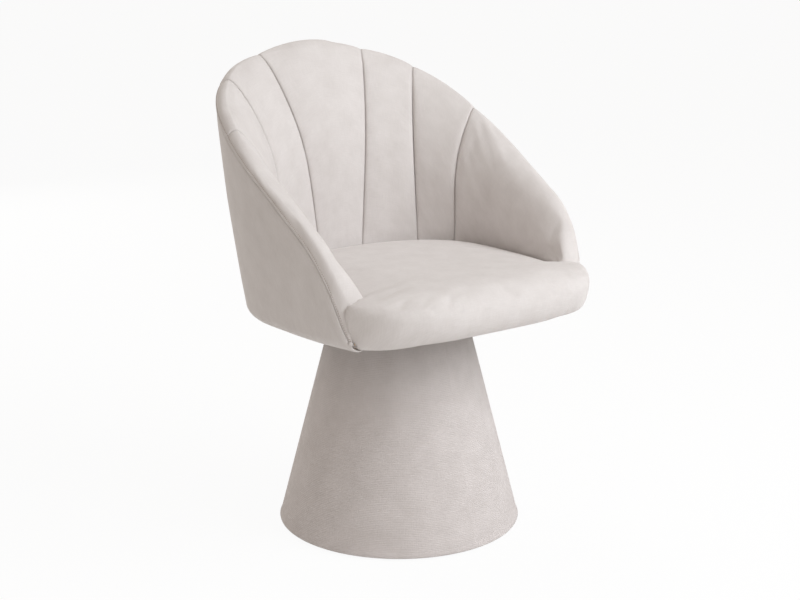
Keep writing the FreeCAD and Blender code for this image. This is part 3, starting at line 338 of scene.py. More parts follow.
# %% [markdown]
# ## Cloth laid out as a grid
# Every cover starts as a flat grid, as cloth starts flat on the cutting table. A function then
# gives each crossing its place in space. The grid also carries a UV map in metres.

# %% New pieces
def piece_from(name, mesh):
    """A new object at the origin that holds this bmesh."""
    data = bpy.data.meshes.new(name)
    mesh.to_mesh(data)
    mesh.free()
    piece = bpy.data.objects.new(name, data)
    scene.collection.objects.link(piece)
    return piece


def discard(piece):
    """Take a scratch piece and its mesh away again."""
    data = piece.data
    bpy.data.objects.remove(piece)
    bpy.data.meshes.remove(data)


def thicken(piece, thickness, offset=-1.0):
    """Give a skin its thickness in metres, inwards unless the offset says otherwise."""
    wall = piece.modifiers.new("backing", "SOLIDIFY")
    wall.thickness, wall.offset = thickness, offset


# %% A grid of cloth
def run_along(places, axis):
    """How far each crossing lies along its row (axis 0) or down its column, in millimetres."""
    steps = np.linalg.norm(np.diff(places, axis=axis), axis=2) / MM
    start = np.zeros_like(np.take(steps, [0], axis))
    return np.concatenate([start, np.cumsum(steps, axis=axis)], axis)


def lay_out(name, places, closed_round=False):
    """A sheet whose crossings lie at places, an array of columns, rows and coordinates."""
    columns, rows = places.shape[:2]
    mesh = bmesh.new()
    bmesh.ops.create_grid(mesh, x_segments=columns - 1, y_segments=rows - 1, size=1.0)
    across, down = run_along(places, 0)[:, rows // 2], run_along(places, 1)
    uv = mesh.loops.layers.uv.new("UVMap")
    spots = {}
    for vertex in mesh.verts:
        column = round((vertex.co.x + 1) / 2 * (columns - 1))
        row = round((vertex.co.y + 1) / 2 * (rows - 1))
        spots[vertex] = (column, row)
        vertex.co = Vector(places[column, row])
    bmesh.ops.reverse_faces(mesh, faces=mesh.faces[:])
    for face in mesh.faces:
        face.smooth = True
        for loop in face.loops:
            column, row = spots[loop.vert]
            loop[uv].uv = (across[column] * MM, down[column, row] * MM)
    if closed_round:
        bmesh.ops.remove_doubles(mesh, verts=mesh.verts[:], dist=1e-5)
    return piece_from(name, mesh)


def normals_of(places):
    """Unit vectors square to a grid of places."""
    normal = np.cross(np.gradient(places, axis=1), np.gradient(places, axis=0))
    return normal / np.maximum(np.linalg.norm(normal, axis=2, keepdims=True), 1e-9)


def rounded_off(distance, radius):
    """How far a rounded end has drawn in, at a distance from that end."""
    near = np.clip(1 - distance / radius, 0, 1)
    return radius * (1 - np.sqrt(1 - near ** 2))

# %% [markdown]
# ## The channel pads
# The inner back is quilted into upright channels. Each pad runs from the rim seam on the outside,
# over the rolled rim, and down to the seat. A pad is drawn in one section per column: a quarter
# turn up from the seam, a short flat, a quarter turn down, and a leaning face to the seat.

# %% The path down one pad
ROWS_UP, ROWS_OVER, ROWS_DOWN, ROWS_FACE, ROWS_TUCK = 18, 4, 16, 80, 8
SEAT_BLEND, TUCK_BELOW_SEAT = 60.0, 20.0


def pad_path(columns):
    """The pads' faces as an array of columns, rows and places, in metres, and each row's zone.

    The zone counts down the pad: 0 at the rim seam, 1 and 2 on the rim's flat top, 3 at the top
    of the inside face, 4 at the seat and 5 at the tucked-in end.
    """
    seam_out, seam_in = columns.rim - columns.drop, columns.rim - ROLL
    reach = columns.outer(seam_out)
    blend = np.clip(1 - (seam_in - SEAT_LINE) / SEAT_BLEND, 0, 1)
    seat_wall = reach - columns.inner(columns.shift(np.full_like(reach, SEAT_LINE)))
    inside = reach - (RIM + (np.maximum(seat_wall, RIM) - RIM) * blend)
    seat_z = np.minimum(SEAT_LINE, seam_in - ROLL / 2)
    end_z = np.minimum(SEAT_LINE - TUCK_BELOW_SEAT, seat_z - ROLL / 4)
    seat, end = columns.inner(columns.shift(seat_z)), columns.inner(columns.shift(end_z))
    rows, zone = [], []
    for step in np.linspace(0, 1, ROWS_UP, endpoint=False) ** 1.3:
        turn = step * math.pi / 2
        rows.append((reach - ROLL + ROLL * math.cos(turn),
                     seam_out + columns.drop * math.sin(turn)))
        zone.append(step)
    for step in np.linspace(0, 1, ROWS_OVER, endpoint=False):
        rows.append((reach - ROLL + (inside - reach + 2 * ROLL) * step, columns.rim))
        zone.append(1 + step)
    for step in np.linspace(0, 1, ROWS_DOWN, endpoint=False):
        turn = step * math.pi / 2
        rows.append((inside + ROLL - ROLL * math.sin(turn), seam_in + ROLL * math.cos(turn)))
        zone.append(2 + step)
    for step in np.linspace(0, 1, ROWS_FACE, endpoint=False):
        rows.append((inside + (seat - inside) * step, seam_in + (seat_z - seam_in) * step))
        zone.append(3 + step)
    for step in np.linspace(0, 1, ROWS_TUCK + 1):
        rows.append((seat + (end - seat) * step, seat_z + (end_z - seat_z) * step))
        zone.append(4 + step)
    places = np.stack([columns.point(reach, z) for reach, z in rows], 1)
    return places, np.array(zone)


# %% The fullness of a pad
SWELL_ZONES = [0, 0.5, 1, 2, 3, 3.3, 3.6, 4, 4.3, 5]
SWELL = [1.0, 2.4, 2.4, 2, 2.4, 7, 7.5, 2.0, 1.0, 0.5]
LUMBAR_NUMBERS, LUMBAR = [0, SEAM_OUTER, SIDE, 130, 170], [25, 25, 17, 7, 0]


def fullness(zone, share):
    """How far a pad swells down its length, in millimetres, for its share across from 0 to 1."""
    return np.interp(zone, SWELL_ZONES, SWELL)[None, :] * np.asarray(share)[:, None]


def lumbar(zone, numbers):
    """How far the padding stands forward between rim and seat, seams and all."""
    reach = np.interp(np.abs(numbers), LUMBAR_NUMBERS, LUMBAR)
    return reach[:, None] * bow_down(zone)[None, :]


def bow_down(zone):
    """From 0 at the rim's inner edge to 1 a little above the middle, and 0 at the seat."""
    down = np.clip(zone - 3, 0, 1)
    return np.clip(np.sin(math.pi * down ** 0.75), 0, 1) ** 1.3


def pillow(share):
    """The round of a pad between its two seams."""
    return (1 - np.abs(2 * share - 1) ** 2.6) ** 0.8


END = SIDE + ARM_NUMBERS
PADS = {
    "channel_pad_centre": (-SEAM_INNER, SEAM_INNER),
    "channel_pad_left_inner": (SEAM_INNER, SEAM_MIDDLE),
    "channel_pad_left_outer": (SEAM_MIDDLE, SEAM_OUTER),
    "arm_pad_left": (SEAM_OUTER, END),
    "channel_pad_right_inner": (-SEAM_MIDDLE, -SEAM_INNER),
    "channel_pad_right_outer": (-SEAM_OUTER, -SEAM_MIDDLE),
    "arm_pad_right": (-END, -SEAM_OUTER),
}
CENTRE_COLUMNS, CHANNEL_COLUMNS, ARM_BACK_COLUMNS, ARM_COLUMNS = 60, 40, 32, 80
ARM_SHARE_NUMBERS = [SEAM_OUTER, 72, 77, 82, SIDE, 130, 160, 175, END]
ARM_SHARES = [0, 0.62, 0.86, 0.96, 1, 1, 0.75, 0.45, 0.1]


def toward_end(count):
    """Steps from 0 to 1 that get closer and closer together."""
    return 1 - (1 - np.linspace(0, 1, count)) ** 1.6


def pad_numbers(name):
    """The column numbers of a pad, and how much of its fullness each column has."""
    first, last = PADS[name]
    if name.startswith("arm"):
        back = np.linspace(SEAM_OUTER, SIDE, ARM_BACK_COLUMNS, endpoint=False)
        along = SIDE + (END - SIDE) * toward_end(ARM_COLUMNS + 1)
        numbers = np.concatenate([back, along])
        share = np.interp(numbers, ARM_SHARE_NUMBERS, ARM_SHARES)
        if first < 0:
            return -numbers[::-1], share[::-1]
        return numbers, share
    count = CENTRE_COLUMNS if name == "channel_pad_centre" else CHANNEL_COLUMNS
    share = np.linspace(0, 1, count + 1)
    return first + (last - first) * share, pillow(share)


SEWN_DEPTH, SEWN_WIDTH, END_ROUND = 2.8, 3.0, 5.0
PUCKER, PUCKER_PITCH, PUCKER_REACH, PUCKER_MIDDLE, PUCKER_SPREAD = 0.35, 2.6, 7.0, 55.0, 45.0
BAND, BAND_LIFT, BAND_EDGE, RIM_SEAM = 5.5, 1.1, 0.7, 2.6
STITCH_LINE, STITCH_GROOVE = BAND + 0.8, 0.5


def sewn(places, zone, name):
    """What the seams do to a pad's face: how far each crossing stands out, in millimetres."""
    first, fall = run_along(places, 0), run_along(places, 1)
    last = first[-1:] - first
    seams = [(first, name != "arm_pad_right"), (last, name != "arm_pad_left")]
    lift = np.zeros(fall.shape)
    open_top = np.clip((zone - 0.15) / 0.5, 0, 1)[None, :]
    for distance, is_seam in seams:
        if is_seam:
            deep = SEWN_DEPTH * np.interp(zone, [0.2, 1, 2, 2.8, 3.1], [0.45, 0.5, 0.5, 0.8, 1.0])
            lift -= deep[None, :] * np.exp(-distance / SEWN_WIDTH) * open_top
            pucker = np.sin(fall / PUCKER_PITCH + 1.7 * np.sin(fall / 23.0))
            pucker *= np.exp(-distance / PUCKER_REACH) * (1 - np.exp(-distance / 1.5))
            lift += PUCKER * pucker * np.exp(-np.abs(fall - PUCKER_MIDDLE) / PUCKER_SPREAD)
        else:
            end = np.interp(zone, [0, 1, 2, 3], [1, 0.8, 0.5, 0])
            lift -= rounded_off(distance, END_ROUND) * end
    band = np.clip(fall / 0.9, 0, 1) * np.clip((BAND + BAND_EDGE - fall) / BAND_EDGE, 0, 1)
    lift += BAND_LIFT * band
    lift -= STITCH_GROOVE * np.exp(-((fall - STITCH_LINE) / BAND_EDGE) ** 2)
    lift -= RIM_SEAM * np.exp(-fall)
    return lift


# %% [markdown]
# ## Let the pads settle
# A pad is a loose skin over wadding, held at its seams. Blender's cloth can work that out: the
# skins are pinned along their edges, given a little slack, and pushed outwards by an even
# pressure. The simulation runs on a coarse copy of all the pads at once, and what it settles is
# carried over to the fine grids, with a cap on how far a point may move.

# %% The cloth simulation
SIM_FRAMES = 20


def settle(piece, pinned, pressure, slack, cap):
    """Where the piece's points lie after a cloth simulation, less where they lay before."""
    group = piece.vertex_groups.new(name="pinned")
    for index in pinned:
        group.add([int(index)], 1.0, "REPLACE")
    before = np.empty(len(piece.data.vertices) * 3)
    piece.data.vertices.foreach_get("co", before)
    cloth = piece.modifiers.new("cloth", "CLOTH")
    rules = cloth.settings
    rules.quality, rules.mass, rules.air_damping = 6, 0.25, 4.0
    rules.tension_stiffness = rules.compression_stiffness = 12.0
    rules.shear_stiffness, rules.bending_stiffness = 4.0, 0.4
    rules.vertex_group_mass = "pinned"
    rules.use_pressure, rules.uniform_pressure_force = True, pressure
    rules.shrink_min = -slack
    rules.effector_weights.gravity = 0.0
    cloth.collision_settings.use_collision = False
    cloth.point_cache.frame_start, cloth.point_cache.frame_end = 1, SIM_FRAMES
    for step in range(1, SIM_FRAMES + 1):
        scene.frame_set(step)
    evaluated = piece.evaluated_get(bpy.context.evaluated_depsgraph_get())
    after = np.empty_like(before)
    evaluated.data.vertices.foreach_get("co", after)
    piece.modifiers.clear()
    scene.frame_set(1)
    move = (after - before).reshape(-1, 3)
    length = np.linalg.norm(move, axis=1, keepdims=True)
    print("settled by up to", round(float(length.max()) / MM, 1), "mm, mean",
          round(float(length.mean()) / MM, 2), "mm")
    return move * np.minimum(1, cap / np.maximum(length, 1e-9))


def pad_start(name):
    """A pad before it settles: its rows' zones, its plain and its full crossings, its normals."""
    numbers, share = pad_numbers(name)
    wider = np.concatenate([numbers[:1] - NEXT_OVER, numbers, numbers[-1:] + NEXT_OVER])
    beyond, zone = pad_path(Columns(np.clip(wider, -END, END)))
    flat, outwards = beyond[1:-1], normals_of(beyond)[1:-1]
    slide = np.interp(np.abs(numbers), SLIDE_NUMBERS, SLIDE)
    slide = (-np.sign(numbers) * slide)[:, None] * bow_down(zone)[None, :] * MM
    flat[..., :2] += Columns(numbers).along[:, None, :] * slide[..., None]
    lift = fullness(zone, share) * PLAIN_SHARE + lumbar(zone, numbers)
    full = flat + outwards * (lift * MM)[..., None]
    pads_soft, arms_soft = (np.interp(zone, zones, [0, 1, 1, 0])[None, :]
                            for zones in (SOFT_ZONES, ARM_SOFT_ZONES))
    at_arm = np.clip((np.abs(numbers) - SEAM_OUTER) / ARM_BLEND, 0, 1)[:, None]
    soft = (pads_soft + (arms_soft - pads_soft) * at_arm)[..., None]
    for _ in range(ROLL_PASSES):
        middle = (full[:, :-2] + full[:, 2:]) / 2
        full[:, 1:-1] += (middle - full[:, 1:-1]) * 0.5 * soft[:, 1:-1]
    return SimpleNamespace(zone=zone, flat=flat, full=full, outwards=outwards)


def finer_grid(coarse):
    """The same values on a grid with twice the steps."""
    for axis in (0, 1):
        at = np.arange(2 * coarse.shape[axis] - 1)
        before, after = np.take(coarse, at // 2, axis), np.take(coarse, (at + 1) // 2, axis)
        coarse = (before + after) / 2
    return coarse


def evened(grid, passes=3):
    """The grid's values with their smallest wrinkles smoothed, its edges kept."""
    for _ in range(passes):
        inner = (grid[:-2, 1:-1] + grid[2:, 1:-1] + grid[1:-1, :-2] + grid[1:-1, 2:]) / 4
        grid = grid.copy()
        grid[1:-1, 1:-1] = (grid[1:-1, 1:-1] + inner) / 2
    return grid


# %% Settle all seven pads
SLIDE_NUMBERS, SLIDE = [0, SEAM_INNER, SEAM_MIDDLE, SEAM_OUTER, SIDE], [0, 7, 3.5, 1.5, 0]
PLAIN_SHARE, ROLL_PASSES, NEXT_OVER, ARM_BLEND = 0.8, 260, 0.6, 40.0
SOFT_ZONES, ARM_SOFT_ZONES = [1.2, 2.0, 3.15, 3.5], [0.7, 1.5, 3.5, 4.0]
PAD_PRESSURE, PAD_SLACK, PAD_CAP = 2.0, 0.0025, 0.003
HELD_TOP, HELD_TUCK = 3, 5

starts = {name: pad_start(name) for name in PADS}
coarse = {name: start.full[::2, ::2] for name, start in starts.items()}
settled = {name: np.zeros_like(places) for name, places in coarse.items()}
whole, pinned, orders, count = bmesh.new(), [], {}, 0
for name, places in coarse.items():
    piece = lay_out("trial_" + name, places)
    whole.from_mesh(piece.data)
    discard(piece)
    columns, rows = places.shape[:2]
    column, row = np.meshgrid(range(columns), range(rows), indexing="ij")
    held = (column == 0) | (column == columns - 1)
    held |= (row < HELD_TOP) | (row >= rows - HELD_TUCK)
    orders[name] = count + row * columns + column
    pinned += list(orders[name][held])
    count += columns * rows
trial = piece_from("trial_pads", whole)
move = settle(trial, pinned, PAD_PRESSURE, PAD_SLACK, PAD_CAP)
settled = {name: evened(move[order]) for name, order in orders.items()}
discard(trial)
print("pads settled:", len(settled))

# %% Lay out the pads
CAP_SHARES = (0.12, 0.5, 1.0)
CAP_BACK = np.array([0, 0.004, 0])


def pad_places(name, capped=True):
    """A pad's crossings at full detail: settled, sewn, and closed at the arm's front end."""
    start = starts[name]
    lift = sewn(start.flat, start.zone, name) * MM
    places = start.full + finer_grid(settled[name]) + start.outwards * lift[..., None]
    if not capped or not name.startswith("arm"):
        return places
    end = places[-1] if name == "arm_pad_left" else places[0]
    centre = (end[0] + end[-1]) / 2
    closing = [end + (centre - end) * share + CAP_BACK for share in CAP_SHARES]
    if name == "arm_pad_left":
        return np.concatenate([places, closing])
    return np.concatenate([closing[::-1], places])


for name in PADS:
    pad = lay_out(name + "_velvet", pad_places(name), closed_round=name.startswith("arm"))
    pad.data.materials.append(tub_velvet)
    thicken(pad, 0.003)
    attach(pad, "seat")
    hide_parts(name)
    print(pad.name, "has", len(pad.data.polygons), "faces")

# %% [markdown]
# ## The outer cover
# The outside of the tub is one plain skin of velvet over a thin backing. It starts at the rim
# seam, follows the shell down, and turns in under the seat board with a soft edge.

# %% The outer cover
COVER_TOP_GAP, COVER_EDGE, COVER_SWELL = 0.4, 15.0, 4.0
COVER_SHARES, COVER_SWELLS = [0, 0.06, 0.4, 0.8, 1], [0.25, 0.55, 1, 0.5, 0]
COVER_END_FADE = 25.0


def cover_places():
    """The cover's crossings, from its tucked-in lower edge up to the rim seam."""
    arm = SIDE + ARM_NUMBERS * toward_end(81)
    numbers = np.concatenate([-arm[::-1], np.linspace(-SIDE, SIDE, 161)[1:-1], arm])
    columns = Columns(numbers)
    top = columns.rim - columns.drop - COVER_TOP_GAP
    low = UNDERSIDE + COVER_EDGE
    rows = []
    for step in np.linspace(0, 1, 90) ** 1.2:
        z = top + (low - top) * step
        rows.append((columns.outer(z), z))
    base = columns.outer(np.full_like(top, low))
    for step in np.linspace(0, 1, 9)[1:]:
        turn = step * math.pi / 2
        rows.append((base - COVER_EDGE * (1 - math.cos(turn)),
                     np.full_like(top, low - (COVER_EDGE + 1) * math.sin(turn))))
    for tuck in (1.0, 2.0, 3.0):
        rows.append((base - COVER_EDGE - tuck, np.full_like(top, low - COVER_EDGE - 1)))
    places = np.stack([columns.point(reach, z) for reach, z in rows], 1)[::-1]
    first, fall = run_along(places, 0), run_along(places, 1)
    lift = -rounded_off(np.minimum(first, first[-1:] - first), END_ROUND)
    lift *= np.clip((places[..., 2] / MM - UNDERSIDE - 5) / COVER_END_FADE, 0, 1)
    lift += np.interp(fall / fall[:, -1:], COVER_SHARES, COVER_SWELLS) * COVER_SWELL
    lift -= RIM_SEAM * np.exp(-fall / 1.4)
    return places + normals_of(places) * (lift * MM)[..., None]


outer_cover = lay_out("outer_cover_velvet", cover_places())
outer_cover.data.materials.append(tub_velvet)
thicken(outer_cover, 0.0024)
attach(outer_cover, "seat")
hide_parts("outer_cover")
print("outer cover faces:", len(outer_cover.data.polygons))

# %% [markdown]
# ## The seat
# The seat is a foam block under a stretched cover. Its top is gently crowned, its front rolls
# over and bows out, and at either side it steps out in front of the arm. It is drawn as rings
# round the axis from the underside up to the crown, then closed over the top.

# %% The seat's outline at a height
SEAT_TOP, BOW, KNEE, CLOTH_LOW = 465.5, 430.0, 446.0, UNDERSIDE - 1
CROWN_WIDTH, FRONT_TUCK, FRONT_ROLL = 130.0, 40.0, 1.3
WALL_GAP, SIDE_WALL, EAR_TUCK, EAR_TUCKED_IN = 2.3, 48.0, 0.2, 6.5
BACK_STEPS, ALONG_STEPS, EAR_STEPS, FRONT_STEPS = 48, 40, 16, 60


def rounded(share, power):
    """How far a rounded edge has turned in, from 0 to 1, at a share of its height."""
    return 1 - (1 - np.clip(share, 0, 1) ** power) ** (1 / power)


def arm_face(z):
    """Where the arms' front faces lie at a height."""
    def nose(height):
        return NOSE_Y - math.sqrt(NOSE_RADIUS ** 2 - (height - NOSE_Z) ** 2)

    if z <= ARM_END:
        return -NOSE + (nose(ARM_END) + NOSE) * (z - BOARD_TOP) / (ARM_END - BOARD_TOP)
    return nose(z)


def seat_ring(z):
    """The seat's edge at a height, in metres, walked round from the front by the right side."""
    side = CROWN_WIDTH * rounded((z - KNEE) / (SEAT_TOP - KNEE), 2) + WALL_GAP
    if z < BOW:
        front = FRONT_TUCK * rounded((BOW - z) / (BOW - CLOTH_LOW), 2)
        at_ear = front * EAR_TUCK
    else:
        roll = rounded((z - BOW) / (SEAT_TOP - BOW), 3)
        front = at_ear = FRONT_ROLL * (FRONT_DEPTH + arm_face(z)) * roll
    step = arm_face(z) + EAR_TUCKED_IN
    tub_z = min(z, SEAT_LINE)

    def wall_width(y):
        return grow_to(lambda reach: inside_level(reach, y, side), y)

    def tub_width(y):
        return grow_to(lambda reach: outside_level(reach, y, tub_z, at_ear), y)

    stop = np.array([step])
    squeeze = 1.0
    if z > SEAT_LINE:
        ear = SIDE_WALL * (1 - rounded((z - SEAT_LINE) / (SEAT_TOP - SEAT_LINE), 2))
        squeeze = float((wall_width(stop) + ear)[0] / tub_width(stop)[0])
    corner = squeeze * float(tub_width(stop)[0])

    back = np.radians(np.linspace(0, 90, BACK_STEPS, endpoint=False))
    reach = grow_to(lambda reach: inside_level(np.sin(back) * reach, np.cos(back) * reach, side),
                    back)
    spots = [np.stack([np.sin(back) * reach, np.cos(back) * reach], 1)]
    along = step * np.linspace(0, 1, ALONG_STEPS)
    spots.append(np.stack([wall_width(along), along], 1))
    ledge = spots[-1][-1, 0] + (corner - spots[-1][-1, 0]) * np.linspace(0, 1, EAR_STEPS)[1:]
    spots.append(np.stack([ledge, np.full_like(ledge, step)], 1))
    start = math.atan2(corner, step)
    share = np.linspace(0, 1, FRONT_STEPS)[1:]
    ahead = start + (math.pi - start) * share
    tuck = at_ear + (front - at_ear) * np.clip(share / 0.4, 0, 1) ** 1.5
    reach = grow_to(lambda reach: outside_level(np.sin(ahead) * reach / squeeze,
                                                np.cos(ahead) * reach, tub_z, tuck), ahead)
    spots.append(np.stack([np.sin(ahead) * reach, np.cos(ahead) * reach], 1))
    right = np.concatenate(spots)
    ring = np.concatenate([right[::-1], (right * [-1, 1])[1:]])
    return np.concatenate([ring, np.full((len(ring), 1), z)], 1) * MM


# %% The seat's block before it settles
ROLL_TURN = np.radians(79)
heights = np.concatenate([np.linspace(CLOTH_LOW, BOW, 12, endpoint=False),
                          BOW + (SEAT_TOP - BOW) * np.sin(np.linspace(0, ROLL_TURN, 26))])
rings = [seat_ring(z) for z in heights]
top_middle, low_middle = np.array([0, -0.02, SEAT_TOP * MM]), np.array([0, -0.02, CLOTH_LOW * MM])
shares = np.linspace(0, 1, 20)[1:]
over = [rings[-1] + (top_middle - rings[-1]) * [share, share, 1 - (1 - share) ** 2]
        for share in shares]
under = [rings[0] + (low_middle - rings[0]) * share for share in shares[::-1]]
seat_grid = np.stack((under + rings + over)[::-1], 1)
seat_cover = lay_out("seat_cover_velvet", seat_grid, closed_round=True)
print("seat rings:", seat_grid.shape)

# %% Round the seat's corners and let its cover settle
SEAT_VOXEL, HELD_LOW, HELD_SIDE, HELD_EAR = 0.006, 428.0, 205.0, 238.0
SEAT_PRESSURE, SEAT_SLACK, SEAT_CAP = 2.0, 0.002, 0.004


def bake(piece):
    """Apply the piece's modifiers to its mesh."""
    bpy.context.view_layer.update()
    evaluated = piece.evaluated_get(bpy.context.evaluated_depsgraph_get())
    result = bpy.data.meshes.new_from_object(evaluated)
    piece.modifiers.clear()
    old, piece.data = piece.data, result
    bpy.data.meshes.remove(old)
    result.name = piece.name


remesh = seat_cover.modifiers.new("even", "REMESH")
remesh.mode, remesh.voxel_size, remesh.use_smooth_shade = "VOXEL", SEAT_VOXEL, True
smooth = seat_cover.modifiers.new("soft", "SMOOTH")
smooth.factor, smooth.iterations = 0.5, 2
bake(seat_cover)
spots = np.array([vertex.co for vertex in seat_cover.data.vertices]) / MM
behind = spots[:, 1] > -NOSE - 15
held = (spots[:, 2] < HELD_LOW) | (np.abs(spots[:, 0]) > HELD_EAR)
held |= behind & (inside_level(spots[:, 0], spots[:, 1], inset=10) > 1)
held |= behind & (np.abs(spots[:, 0]) > HELD_SIDE)
move = settle(seat_cover, np.nonzero(held)[0], SEAT_PRESSURE, SEAT_SLACK, SEAT_CAP)
seat_cover.vertex_groups.clear()
for vertex, step in zip(seat_cover.data.vertices, move):
    vertex.co += Vector(step)

# %% The foam under the cover
FOAM_INSET, FOAM_BACK = 0.0045, 36.0


def foam_block(node, mesh, corner, beyond):
    """A node's foam from a bmesh, cut off flat past a corner in one direction and closed."""
    bmesh.ops.bisect_plane(mesh, geom=mesh.verts[:] + mesh.edges[:] + mesh.faces[:], dist=1e-6,
                           plane_co=corner, plane_no=beyond, clear_outer=True)
    cut = [edge for edge in mesh.edges if edge.is_boundary]
    bmesh.ops.holes_fill(mesh, edges=cut, sides=0)
    block = piece_from(node + "_block", mesh)
    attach(block, "seat")
    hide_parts(node)
    print(block.name, "has", len(block.data.polygons), "faces")
    return block


mesh = bmesh.new()
mesh.from_mesh(seat_cover.data)
for vertex in mesh.verts:
    vertex.co -= vertex.normal * FOAM_INSET
seat_foam = foam_block("seat_foam", mesh, (0, 0, (BOARD_TOP + 1) * MM), (0, 0, -1))

# %% Open the cover below and give it its thickness
OPEN_INSET = 26.0


def under_seat(face):
    """Whether a face lies under the seat board, where the cover is left open."""
    middle = face.calc_center_median() / MM
    inside = outside_level(np.array(middle.x), np.array(middle.y), BOARD_TOP, OPEN_INSET) < 1
    return middle.z < CLOTH_LOW + 4 and bool(inside)


mesh = bmesh.new()
mesh.from_mesh(seat_cover.data)
gone = [face for face in mesh.faces if under_seat(face)]
bmesh.ops.delete(mesh, geom=gone, context="FACES")
uv = mesh.loops.layers.uv.new("UVMap")
for face in mesh.faces:
    for loop in face.loops:
        spot = loop.vert.co
        loop[uv].uv = (spot.x, -spot.y - spot.z)
mesh.to_mesh(seat_cover.data)
mesh.free()
seat_cover.data.materials.append(tub_velvet)
finer = seat_cover.modifiers.new("finer", "SUBSURF")
finer.levels = finer.render_levels = 1
thicken(seat_cover, 0.002)
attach(seat_cover, "seat")
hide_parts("seat_cover")
print("seat faces:", len(seat_cover.data.polygons))

# %% The tub's foam, cut back behind the rounded arm ends
mesh = bmesh.new()
mesh.from_mesh(frame["nodes"]["tub_foam"].data)
bmesh.ops.remove_doubles(mesh, verts=mesh.verts[:], dist=1e-6)
tub_foam = foam_block("tub_foam", mesh, (0, -(NOSE - FOAM_BACK) * MM, 0), (0, -1, 0))

# %% [markdown]
# ## The cone's sleeve
# The foot is a plywood cone inside a sleeve of ribbed velvet. The sleeve is a profile turned once
# round the axis: a hem turned in under the cone, a soft lower edge, the straight side, and a
# turned-in top. Its UV map closes along one upright line.

# %% Turn the sleeve
CONE_FOOT, CONE_TOP, CONE_LOW, CONE_HIGH = 208.0, 113.0, 2.5, 366.0
CONE_LOFT, CONE_EDGE, CONE_RETURN, CONE_STEPS = 1.2, 4.0, 16.0, 192
MEAN_RADIUS, SLANT_SHARE = 0.16, 0.25


def cone_radius(height, inset=0.0):
    """The sleeve's radius at a height: the plain cone's and the cloth's own loft."""
    return CONE_LOFT + CONE_FOOT + (CONE_TOP - CONE_FOOT) * height / CONE_HIGH - inset


def turned(name, profile, steps):
    """A skin turned once round the axis from a profile of radius and height in millimetres."""
    mesh = bmesh.new()
    made = [mesh.verts.new((0, radius * MM, height * MM)) for radius, height in profile]
    edges = [mesh.edges.new(pair) for pair in zip(made, made[1:])]
    bmesh.ops.spin(mesh, geom=made + edges, cent=(0, 0, 0), axis=(0, 0, 1),
                   angle=2 * math.pi, steps=steps, use_merge=True)
    bmesh.ops.remove_doubles(mesh, verts=mesh.verts[:], dist=1e-6)
    bmesh.ops.recalc_face_normals(mesh, faces=mesh.faces[:])
    widest = max(mesh.faces, key=lambda one: one.calc_center_median().xy.length)
    middle = widest.calc_center_median()
    if widest.normal.dot(Vector((middle.x, middle.y, 0))) < 0:
        bmesh.ops.reverse_faces(mesh, faces=mesh.faces[:])
    uv = mesh.loops.layers.uv.new("UVMap")
    for face in mesh.faces:
        face.smooth = True
        centre = math.atan2(*face.calc_center_median().xy)
        for loop in face.loops:
            turn = math.atan2(*loop.vert.co.xy)
            turn += 2 * math.pi * round((centre - turn) / (2 * math.pi))
            slant = loop.vert.co.z + loop.vert.co.xy.length * SLANT_SHARE
            loop[uv].uv = (turn * MEAN_RADIUS, slant)
    return piece_from(name, mesh)


edge = [(cone_radius(CONE_LOW) - CONE_EDGE + CONE_EDGE * math.sin(turn),
         CONE_LOW + CONE_EDGE - CONE_EDGE * math.cos(turn))
        for turn in np.linspace(0, math.pi / 2, 7)]
side = [(cone_radius(z), z) for z in np.linspace(CONE_LOW + CONE_EDGE + 3, CONE_HIGH - 2, 70)]
top = [(cone_radius(CONE_HIGH, inset), CONE_HIGH + above)
       for inset, above in ((1.0, 0.7), (3.0, 1.4), (CONE_RETURN, 1.4))]
hem = [(cone_radius(CONE_LOW) - CONE_EDGE - CONE_RETURN, CONE_LOW + 1.6)]
sleeve = turned("cone_sleeve", hem + edge + side + top, CONE_STEPS)
sleeve.data.materials.append(cone_velvet)
thicken(sleeve, 0.0012)
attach(sleeve, "base")
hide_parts("base_cover")
print("sleeve faces:", len(sleeve.data.polygons))

# %% [markdown]
# ## Linings
# Two thin black cloths are hardly ever seen: one tacked under the seat board, one under the cone.
# Each is laid out as a flat ring and given its thickness.

# %% The two linings
def plain_stuff(name, pale, dark, scale, rough, bump, metal=0.0, stretch=(1, 1, 1)):
    """A material mottled between two screen colours, its pattern stretched to make a grain."""
    material, shader, spot = new_material(name, "Object")
    spot = spot.node("ShaderNodeMapping", {}, {"Vector": spot, "Scale": stretch})
    mottle, fine = noise(spot, scale, 4.0), noise(spot, scale * 6, 2.0)
    shade = (mottle - 0.5) * 1.2 + (fine - 0.5) * 0.5 + 0.5
    fill_shader(shader, two_tone(shade, dark, pale),
                raised(fine + mottle * 0.5, bump, 0.0004), mottle * 0.15 + (rough - 0.07))
    shader.inputs["Metallic"].default_value = metal
    return material


lining = plain_stuff("lining_cloth", (46, 46, 47), (28, 28, 29), 900.0, 0.9, 0.5)
PLATE_ROOM, EAR_ROOM, AROUND = 92.0, 16.0, 145
FOOT_HOLE, FOOT_LINING, FOOT_HEIGHT = 1.0, 187.0, 4.8
turns = np.linspace(0, 2 * math.pi, AROUND)
facing = np.stack([np.sin(turns), np.cos(turns)], 1)


def flat_ring(name, inner, outer, height):
    """A flat ring of cloth at a height, between two reaches from the axis."""
    rings = [np.concatenate([facing * (inner + (outer - inner) * share)[:, None],
                             np.full((AROUND, 1), height)], 1)
             for share in np.linspace(0, 1, 12)]
    return lay_out(name, np.stack(rings, 1) * MM, closed_round=True)


